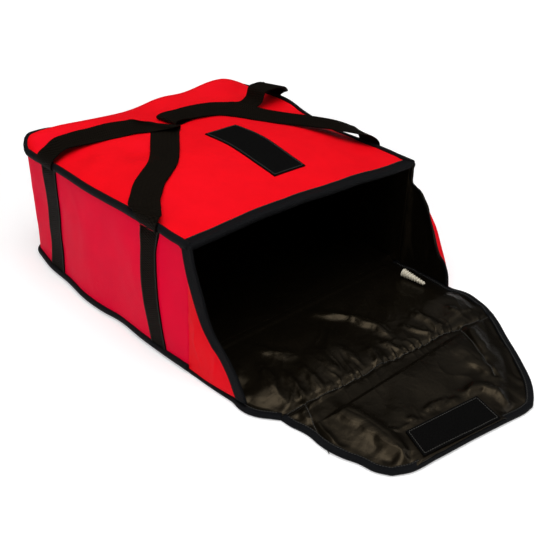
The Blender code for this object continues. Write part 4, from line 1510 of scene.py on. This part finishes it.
class PIZZABAG_OT_flap(BagOperator, bpy.types.Operator):
    """Flap on the floor: red outside, wadding, wrinkled lining and bound sides"""

    bl_idname = "pizza_bag.flap"
    bl_label = "Flap"

    def model(self):
        def spot(u, v):
            return stretched(FLAP_LEFT, FLAP_RIGHT, flap_rear(), CREASE, u, v)

        bodies = ("bag_body", "flap_front")
        inset = (0.045, 0.91, 0.10, 0.86)
        pad = floor_panel(
            "flap", spot, inset, (90, 40), (300, 130), FLAP_FLAT, bodies, FLAP_BEND
        )
        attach(pad, "flap_front")
        for side, line in (("left", FLAP_LEFT), ("right", FLAP_RIGHT)):
            bind, thread = edge_tape("flap_" + side + "_tape", line, side == "left", 60)
            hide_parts("flap_" + side + "_binding")
            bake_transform(bind)
            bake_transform(thread)


def edge_tape(name, line, left, count):
    """Rounded binding along an edge of the flap or tongue."""
    flat_path = spread(line, count)
    run = np.linspace(0, 1, count)
    lift = 0.0036 + 0.0004 * grain(run * 12, run * 0, 1.0, 91)
    path = np.stack([flat_path[:, 0], flat_path[:, 1], lift], -1)
    ahead = heading(path)
    inward = np.stack([-ahead[:, 1], ahead[:, 0], 0 * run], -1)
    if not left:
        inward = -inward
    reach, thick = EDGE_TAPE
    probe = path + inward * reach
    rise = (np.minimum(lining_z(probe[:, 0], probe[:, 1]), 0.0105) - 0.0050) / reach
    side = unit(inward + np.stack([0 * run, 0 * run, np.clip(rise, 0, 0.6)], -1))
    up = unit(np.cross(side, ahead))
    up = np.where(up[:, 2:] < 0, -up, up)
    made = swept(name, path, side, up, folded_tape(reach, thick), 0.030)
    finish_piece(made, surface("cloth_tape"))
    line = path + side * (reach * 0.80) + up * 0.0027
    return made, seam_thread(name + "_stitches", [(line[2:-2], up[2:-2])])


class PIZZABAG_OT_tongue(BagOperator, bpy.types.Operator):
    """Tongue of the flap, which folds over the top"""

    bl_idname = "pizza_bag.tongue"
    bl_label = "Tongue"

    def model(self):
        def spot(u, v):
            return stretched(TONGUE_LEFT, TONGUE_RIGHT, CREASE, TONGUE_TIP, u, v)

        bodies = ("flap_front", "flap_tongue")
        inset = (0.05, 0.90, 0.06, 0.86)
        pad = floor_panel(
            "tongue",
            spot,
            inset,
            (90, 80),
            (290, 130),
            TONGUE_FLAT,
            bodies,
            TONGUE_BEND,
            area=TONGUE_AREA,
        )
        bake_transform(pad)
        rim = np.concatenate(
            [
                spread(TONGUE_LEFT, 50)[:-1],
                spread(TONGUE_TIP, 60)[:-1],
                spread(TONGUE_RIGHT, 60)[::-1],
            ]
        )
        bind, thread = edge_tape("tongue_tape", rim, True, 240)
        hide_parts("tongue_binding")
        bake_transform(bind)
        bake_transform(thread)
        rows = []
        for line in (CREASE, LEFT_DIAGONAL, RIGHT_DIAGONAL):
            spots = spread(line, 120)
            height = lining_z(spots[:, 0], spots[:, 1]) + THREAD_LIFT
            path = np.stack([spots[:, 0], spots[:, 1], height], -1)
            rows.append((path, np.tile([0, 0, 1.0], (120, 1))))
        fold_thread = seam_thread("fold_stitches", rows)
        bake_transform(fold_thread)


class PIZZABAG_OT_patches(BagOperator, bpy.types.Operator):
    """Hook patch on the tongue and loop patch on the top"""

    bl_idname = "pizza_bag.patches"
    bl_label = "Patches"

    def model(self):
        pile = surface("cloth_pile")
        for name, node, corners, height, flat, body in (
            ("top_loop_patch", "loop_patch", LOOP_CORNERS, top_z, (0.070, 0.178), "bag_body"),
            ("tongue_hook_patch", "hook_patch", HOOK_CORNERS, lining_z, (0.138, 0.052), "flap_tongue"),
        ):

            def place(u, v, corners=corners, height=height):
                a, b, c, d = (np.array(corner) for corner in corners)
                u, v = u[:, None], v[:, None]
                spot = a * (1 - u) * (1 - v) + b * u * (1 - v) + c * u * v + d * (1 - u) * v
                x, y = spot[:, 0], spot[:, 1]
                z = height(x, y)
                if height is lining_z:
                    z = PATCH_Z + 0.0008 * grain(x + 1, y + 1, 0.030, 49)
                return np.stack([x, y, z + sizes().pile], -1)

            patch = grid_sheet(name, 50, 50, place, flat)
            thicken(patch, sizes().pile)
            finish_piece(patch, pile)
            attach(patch, body)
            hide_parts(node)
            inset = 0.0032 / np.array(flat)
            rows = []
            ring = ((0, 0), (1, 0), (1, 1), (0, 1), (0, 0))
            for first, last in zip(ring[:-1], ring[1:]):
                share = np.linspace(0, 1, 40)[:, None]
                spot = np.array(first) * (1 - share) + np.array(last) * share
                spot = inset + spot * (1 - 2 * inset)
                line = place(spot[:, 0], spot[:, 1]) + np.array([0, 0, THREAD_LIFT])
                rows.append((line, np.tile([0, 0, 1.0], (40, 1))))
            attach(seam_thread(name + "_stitches", rows), body)


def strap_station(x, y, lift, slant, lean):
    """Middle of the webbing and its half cross line, laid on the top."""
    half = sizes().webbing / 2
    turn = math.radians(slant)
    cross = np.array([-math.sin(turn), math.cos(turn), 0.0]) * half
    lying = max(0.0, 1 - lift / 0.026)
    ends = [
        float(top_z(np.float64(x + s * cross[0]), np.float64(y + s * cross[1]))) for s in (-1, 1)
    ]
    cross[2] = lying * (ends[1] - ends[0]) / 2 + half * math.sin(math.radians(lean))
    base = float(top_z(np.float64(x), np.float64(y)))
    under = max(base, (ends[0] + ends[1]) / 2) if lying > 0.5 else base
    return np.array([x, y, under + LIE_GAP + lift]), cross


def strap_fold(x, y, slant, sign, rising):
    """The webbing doubled back on itself."""
    turn = math.radians(slant)
    out = np.array([math.cos(turn), math.sin(turn), 0.0]) * sign
    rows = []
    for step in range(7):
        angle = math.pi * (step / 6 - 0.5) * rising
        away = out * FOLD_RADIUS * (math.cos(angle) - 1)
        lift = FOLD_RADIUS * (1 + math.sin(angle))
        rows.append(strap_station(x + away[0], y + away[1], lift, slant, 0))
    return rows


def leg_stations(sign, leg, upward):
    """The webbing sewn down the wall, from floor to seam."""
    bag = sizes()
    at_seam, at_foot, narrower = leg
    rows = []
    for t in np.linspace(0.045, 0.975, LEG_ROWS):
        middle = at_foot + (at_seam - at_foot) * t
        share = (middle + bag.half_depth) / band_length()
        share = share if sign < 0 else 1 - share
        around = share + np.array([-LEG_SHARE, 0.0, LEG_SHARE])
        points = wall_place(around, np.full(3, t))
        cross = (points[2] - points[0]) / 2 * (1 if sign < 0 else -1)
        cross = unit(cross) * bag.webbing / 2 * (1 - narrower * float(ease((1 - t) / 0.20)))
        middle_point = points[1].copy()
        middle_point[0] = (points[1][0] + (points[0][0] + points[2][0]) / 2) / 2 + sign * 0.0014
        rows.append((middle_point, cross))
    over = sign * (bag.half_width + LEG_OUT)
    seam = float(seam_z(np.float64(sign * bag.half_width), np.float64(at_seam)))
    for lift, x in ((-0.004, over), (0.003, over + sign * 0.0012), (0.0095, over - sign * 0.0015)):
        rows.append((np.array([x, at_seam, seam + lift]), np.array([0.0, bag.webbing / 2, 0.0])))
    return rows if upward else rows[::-1]


def webbing(name, rows, material):
    """A flat ribbon with rounded edges through these stations."""
    middles = spread([row[0] for row in rows], 10 * len(rows))
    run = np.concatenate(
        ([0.0], np.cumsum(np.linalg.norm(np.diff([row[0] for row in rows], axis=0), axis=1)))
    )
    along = np.concatenate(
        ([0.0], np.cumsum(np.linalg.norm(np.diff(middles, axis=0), axis=1)))
    )
    along = along / along[-1] * run[-1]
    halves = np.stack(
        [smooth_curve(along, run, [row[1][k] for row in rows]) for k in range(3)], -1
    )
    half = sizes().webbing / 2
    side = unit(halves)
    ahead = heading(middles)
    side = unit(side - ahead * np.sum(side * ahead, axis=1, keepdims=True) * 0.5)
    up = unit(np.cross(ahead, side))
    side = side * np.clip(np.linalg.norm(halves, axis=1, keepdims=True) / half, 0.5, 1.0)
    thick = sizes().webbing_thickness / 2
    section = []
    for x, z in ((1, 0.35), (0.985, 0.9), (0.94, 1), (0.5, 1), (0, 1)):
        section.append((half * x, thick * z))
    for x, z in ((-0.5, 1), (-0.94, 1), (-0.985, 0.9), (-1, 0.35)):
        section.append((half * x, thick * z))
    section += [(a, -b) for a, b in reversed(section)]
    made = swept(name, middles, side, up, section, 2 * sizes().webbing)
    finish_piece(made, material)
    return made, float(run[-1])


class PIZZABAG_OT_handles(BagOperator, bpy.types.Operator):
    """Webbing of each side: two legs sewn to the wall and the long loop between them"""

    bl_idname = "pizza_bag.handles"
    bl_label = "Handles"

    def model(self):
        web = surface("cloth_webbing")
        left = leg_stations(-1, LEFT_REAR_LEG, True)
        left += [strap_station(*row) for row in LEFT_ROUTE]
        left += strap_fold(*LEFT_FOLD, 1, -1)
        left += [strap_station(*row) for row in LEFT_RETURN]
        left += leg_stations(-1, LEFT_FRONT_LEG, False)
        right = leg_stations(1, RIGHT_FRONT_LEG, True)
        right += [strap_station(*row) for row in RIGHT_ROUTE]
        right += strap_fold(*RIGHT_FOLD, -1, -1)
        right += [strap_station(*row) for row in RIGHT_RETURN]
        right += leg_stations(1, RIGHT_REAR_LEG, False)
        seams = []
        for sign, leg in (
            (-1, LEFT_FRONT_LEG),
            (-1, LEFT_REAR_LEG),
            (1, RIGHT_FRONT_LEG),
            (1, RIGHT_REAR_LEG),
        ):
            rows = leg_stations(sign, leg, True)[:LEG_ROWS]
            middle = np.array([row[0] for row in rows])
            cross = np.array([row[1] for row in rows])
            out = unit(np.cross(heading(middle), cross))
            out = out * np.sign(out[:, :1]) * sign
            for edge in (-0.88, 0.88):
                seams.append((middle + cross * edge + out * sizes().webbing_thickness * 0.5, out))
        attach(seam_thread("leg_stitches", seams), "bag_body")
        for side, rows, sign in (("left", left, -1), ("right", right, 1)):
            strap, length = webbing(side + "_handle_webbing", rows, web)
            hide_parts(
                side + "_handle_loop",
                side + "_front_webbing_leg",
                side + "_rear_webbing_leg",
            )
            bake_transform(strap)


class PIZZABAG_OT_sleeve(BagOperator, bpy.types.Operator):
    """Ribbed sleeve of the lead, on the lining at the right"""

    bl_idname = "pizza_bag.sleeve"
    bl_label = "Sleeve"

    def model(self):
        bag = sizes()
        thick, thin = bag.sleeve_width / 2, SLEEVE_THIN
        count = 150
        along = np.linspace(0, 1, count)
        start = np.array([SLEEVE_X[0], SLEEVE_Y])
        end = np.array([SLEEVE_X[1], SLEEVE_Y - bag.sleeve_length])
        path = start + (end - start) * along[:, None]
        radius = thick + (thin - thick) * along**0.9
        ribs = 0.5 + 0.5 * np.cos(along * SLEEVE_RIBS * 2 * np.pi)
        radius = radius - 0.0021 * ribs**2 * np.clip(along * 20, 0, 1)
        radius[0], radius[-1] = thick * 0.86, thin * 0.55
        low = lining_z(path[:, 0], path[:, 1])
        height = low.max() + thick * 0.94 - (thick - thin) * along * 0.8
        centre = np.stack([path[:, 0], path[:, 1], height], -1)
        ahead = heading(centre)
        side = unit(np.cross(ahead, np.array([0, 0, 1.0])))
        up = unit(np.cross(side, ahead))

        def place(u, v):
            i = np.rint(v * (count - 1)).astype(int)
            angle = u * 2 * np.pi
            ring = radius[i][:, None]
            return centre[i] + ring * (
                side[i] * np.cos(angle)[:, None] + up[i] * np.sin(angle)[:, None]
            )

        obj = grid_sheet("lead_ribbed_sleeve", 28, count - 1, place, (0.04, bag.sleeve_length))
        close_tube(obj)
        finish_piece(obj, surface("moulded_cream"))
        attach(obj, "flap_front")
        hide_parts("lead_sleeve")


class PIZZABAG_OT_stage(BagOperator, bpy.types.Operator):
    """Pale floor, soft lamps and the camera"""

    bl_idname = "pizza_bag.stage"
    bl_label = "Stage"

    def model(self):
        stage = bpy.context.scene.pizza_bag_stage
        scene = bpy.context.scene
        deselect()
        bpy.ops.mesh.primitive_plane_add(size=FLOOR_SIZE, location=(0, 0, -0.0004))
        floor = bpy.context.object
        floor.name = "floor"
        floor.data.materials.append(floor_material(stage.floor))
        world = bpy.data.worlds.new("studio")
        world.use_nodes = True
        scene.world = world
        tree = world.node_tree
        tree.nodes.clear()
        seen = seen_rays(tree)
        light = tree.nodes.new("ShaderNodeBackground")
        light.inputs["Color"].default_value = (1, 1, 1, 1)
        direction = tree.nodes.new("ShaderNodeTexCoord")
        parts = tree.nodes.new("ShaderNodeSeparateXYZ")
        tree.links.new(direction.outputs["Generated"], parts.inputs[0])
        high = math_node(tree, "POWER", math_node(tree, "MAXIMUM", parts.outputs[2], 0.0), 4.0)
        strength = math_node(tree, "MULTIPLY_ADD", high, SKY_HIGH * stage.sky, SKY_LOW * stage.sky)
        tree.links.new(strength, light.inputs["Strength"])
        white = tree.nodes.new("ShaderNodeBackground")
        white.inputs["Strength"].default_value = 1.0
        white.inputs["Color"].default_value = (1, 1, 1, 1)
        mix = tree.nodes.new("ShaderNodeMixShader")
        out = tree.nodes.new("ShaderNodeOutputWorld")
        tree.links.new(seen, mix.inputs[0])
        tree.links.new(light.outputs[0], mix.inputs[1])
        tree.links.new(white.outputs[0], mix.inputs[2])
        tree.links.new(mix.outputs[0], out.inputs[0])
        for name, extent, place, aim in LAMPS:
            lamp = bpy.data.lights.new(name + "_lamp", "AREA")
            lamp.energy = getattr(stage, name)
            lamp.size = extent
            obj = bpy.data.objects.new(name + "_lamp", lamp)
            scene.collection.objects.link(obj)
            obj.location = place
            aimed = Vector(aim) - Vector(place)
            obj.rotation_euler = aimed.to_track_quat("-Z", "Y").to_euler()
        camera = bpy.data.cameras.new("camera")
        camera.lens = stage.lens
        camera.sensor_width = 36.0
        camera.clip_end = 60
        obj = bpy.data.objects.new("camera", camera)
        scene.collection.objects.link(obj)
        obj.matrix_world = camera_place(CAMERA_PLACE, *CAMERA_TURN)
        scene.camera = obj
        scene.view_settings.view_transform = "Standard"


def camera_place(place, yaw, pitch, roll):
    """Camera matrix from its place and its angles in degrees."""
    yaw, pitch, roll = (math.radians(angle) for angle in (yaw, pitch, roll))
    ahead = Vector(
        (math.sin(yaw) * math.cos(pitch), math.cos(yaw) * math.cos(pitch), -math.sin(pitch))
    )
    right = Vector((math.cos(yaw), -math.sin(yaw), 0))
    up = right.cross(ahead)
    tilted = right * math.cos(roll) + up * math.sin(roll)
    upright = up * math.cos(roll) - right * math.sin(roll)
    matrix = Matrix((tilted, upright, -ahead)).transposed().to_4x4()
    matrix.translation = Vector(place)
    return matrix


def seen_rays(tree):
    """1 for the rays that come from the camera, else 0."""
    rays = tree.nodes.new("ShaderNodeLightPath").outputs
    return math_node(tree, "MAXIMUM", rays["Is Camera Ray"], rays["Is Transmission Ray"])


def floor_material(colour):
    """Floor that shows nearly white and keeps a soft shadow."""
    made = bpy.data.materials.new("studio_floor")
    made.use_nodes = True
    tree = made.node_tree
    tree.nodes.clear()
    seen = seen_rays(tree)
    matt = tree.nodes.new("ShaderNodeBsdfDiffuse")
    matt.inputs["Color"].default_value = (*colour, 1)
    glow = tree.nodes.new("ShaderNodeEmission")
    glow.inputs["Color"].default_value = (1, 1, 1, 1)
    place = tree.nodes.new("ShaderNodeTexCoord")
    away = tree.nodes.new("ShaderNodeVectorMath")
    away.operation = "LENGTH"
    tree.links.new(place.outputs["Object"], away.inputs[0])
    far = math_node(tree, "POWER", away.outputs["Value"], 2.0)
    far = math_node(tree, "MULTIPLY_ADD", far, GLOW_FAR, GLOW_NEAR)
    strength = math_node(tree, "MULTIPLY", seen, math_node(tree, "MINIMUM", far, 1.0))
    tree.links.new(strength, glow.inputs["Strength"])
    both = tree.nodes.new("ShaderNodeAddShader")
    out = tree.nodes.new("ShaderNodeOutputMaterial")
    tree.links.new(matt.outputs[0], both.inputs[0])
    tree.links.new(glow.outputs[0], both.inputs[1])
    tree.links.new(both.outputs[0], out.inputs[0])
    return made


PIECES = (
    PIZZABAG_OT_top,
    PIZZABAG_OT_walls,
    PIZZABAG_OT_base,
    PIZZABAG_OT_piping,
    PIZZABAG_OT_wings,
    PIZZABAG_OT_flap,
    PIZZABAG_OT_tongue,
    PIZZABAG_OT_patches,
    PIZZABAG_OT_handles,
    PIZZABAG_OT_sleeve,
    PIZZABAG_OT_stage,
)


class PIZZABAG_PT_panel(bpy.types.Panel):
    """Lists the bag's pieces, sizes and colours"""

    bl_idname = "PIZZABAG_PT_panel"
    bl_label = "Pizza delivery bag"
    bl_space_type = "VIEW_3D"
    bl_region_type = "UI"
    bl_category = "Pizza bag"

    def draw(self, context):
        scene = context.scene
        for piece in PIECES:
            self.layout.operator(piece.bl_idname)
        for group in (scene.pizza_bag_sizes, scene.pizza_bag_colours, scene.pizza_bag_stage):
            box = self.layout.box()
            for name in group.__annotations__:
                box.prop(group, name)


GROUPS = (
    (BagSizes, "pizza_bag_sizes"),
    (BagColours, "pizza_bag_colours"),
    (BagStage, "pizza_bag_stage"),
)


def register():
    for group, name in GROUPS:
        bpy.utils.register_class(group)
        setattr(bpy.types.Scene, name, bpy.props.PointerProperty(type=group))
    for piece in PIECES:
        bpy.utils.register_class(piece)
    bpy.utils.register_class(PIZZABAG_PT_panel)


def unregister():
    bpy.utils.unregister_class(PIZZABAG_PT_panel)
    for piece in reversed(PIECES):
        bpy.utils.unregister_class(piece)
    for group, name in reversed(GROUPS):
        delattr(bpy.types.Scene, name)
        bpy.utils.unregister_class(group)


def main():
    """Models every piece in order."""
    register()
    for piece in PIECES:
        group, name = piece.bl_idname.split(".")
        getattr(getattr(bpy.ops, group), name)()


if __name__ == "__main__":
    main()
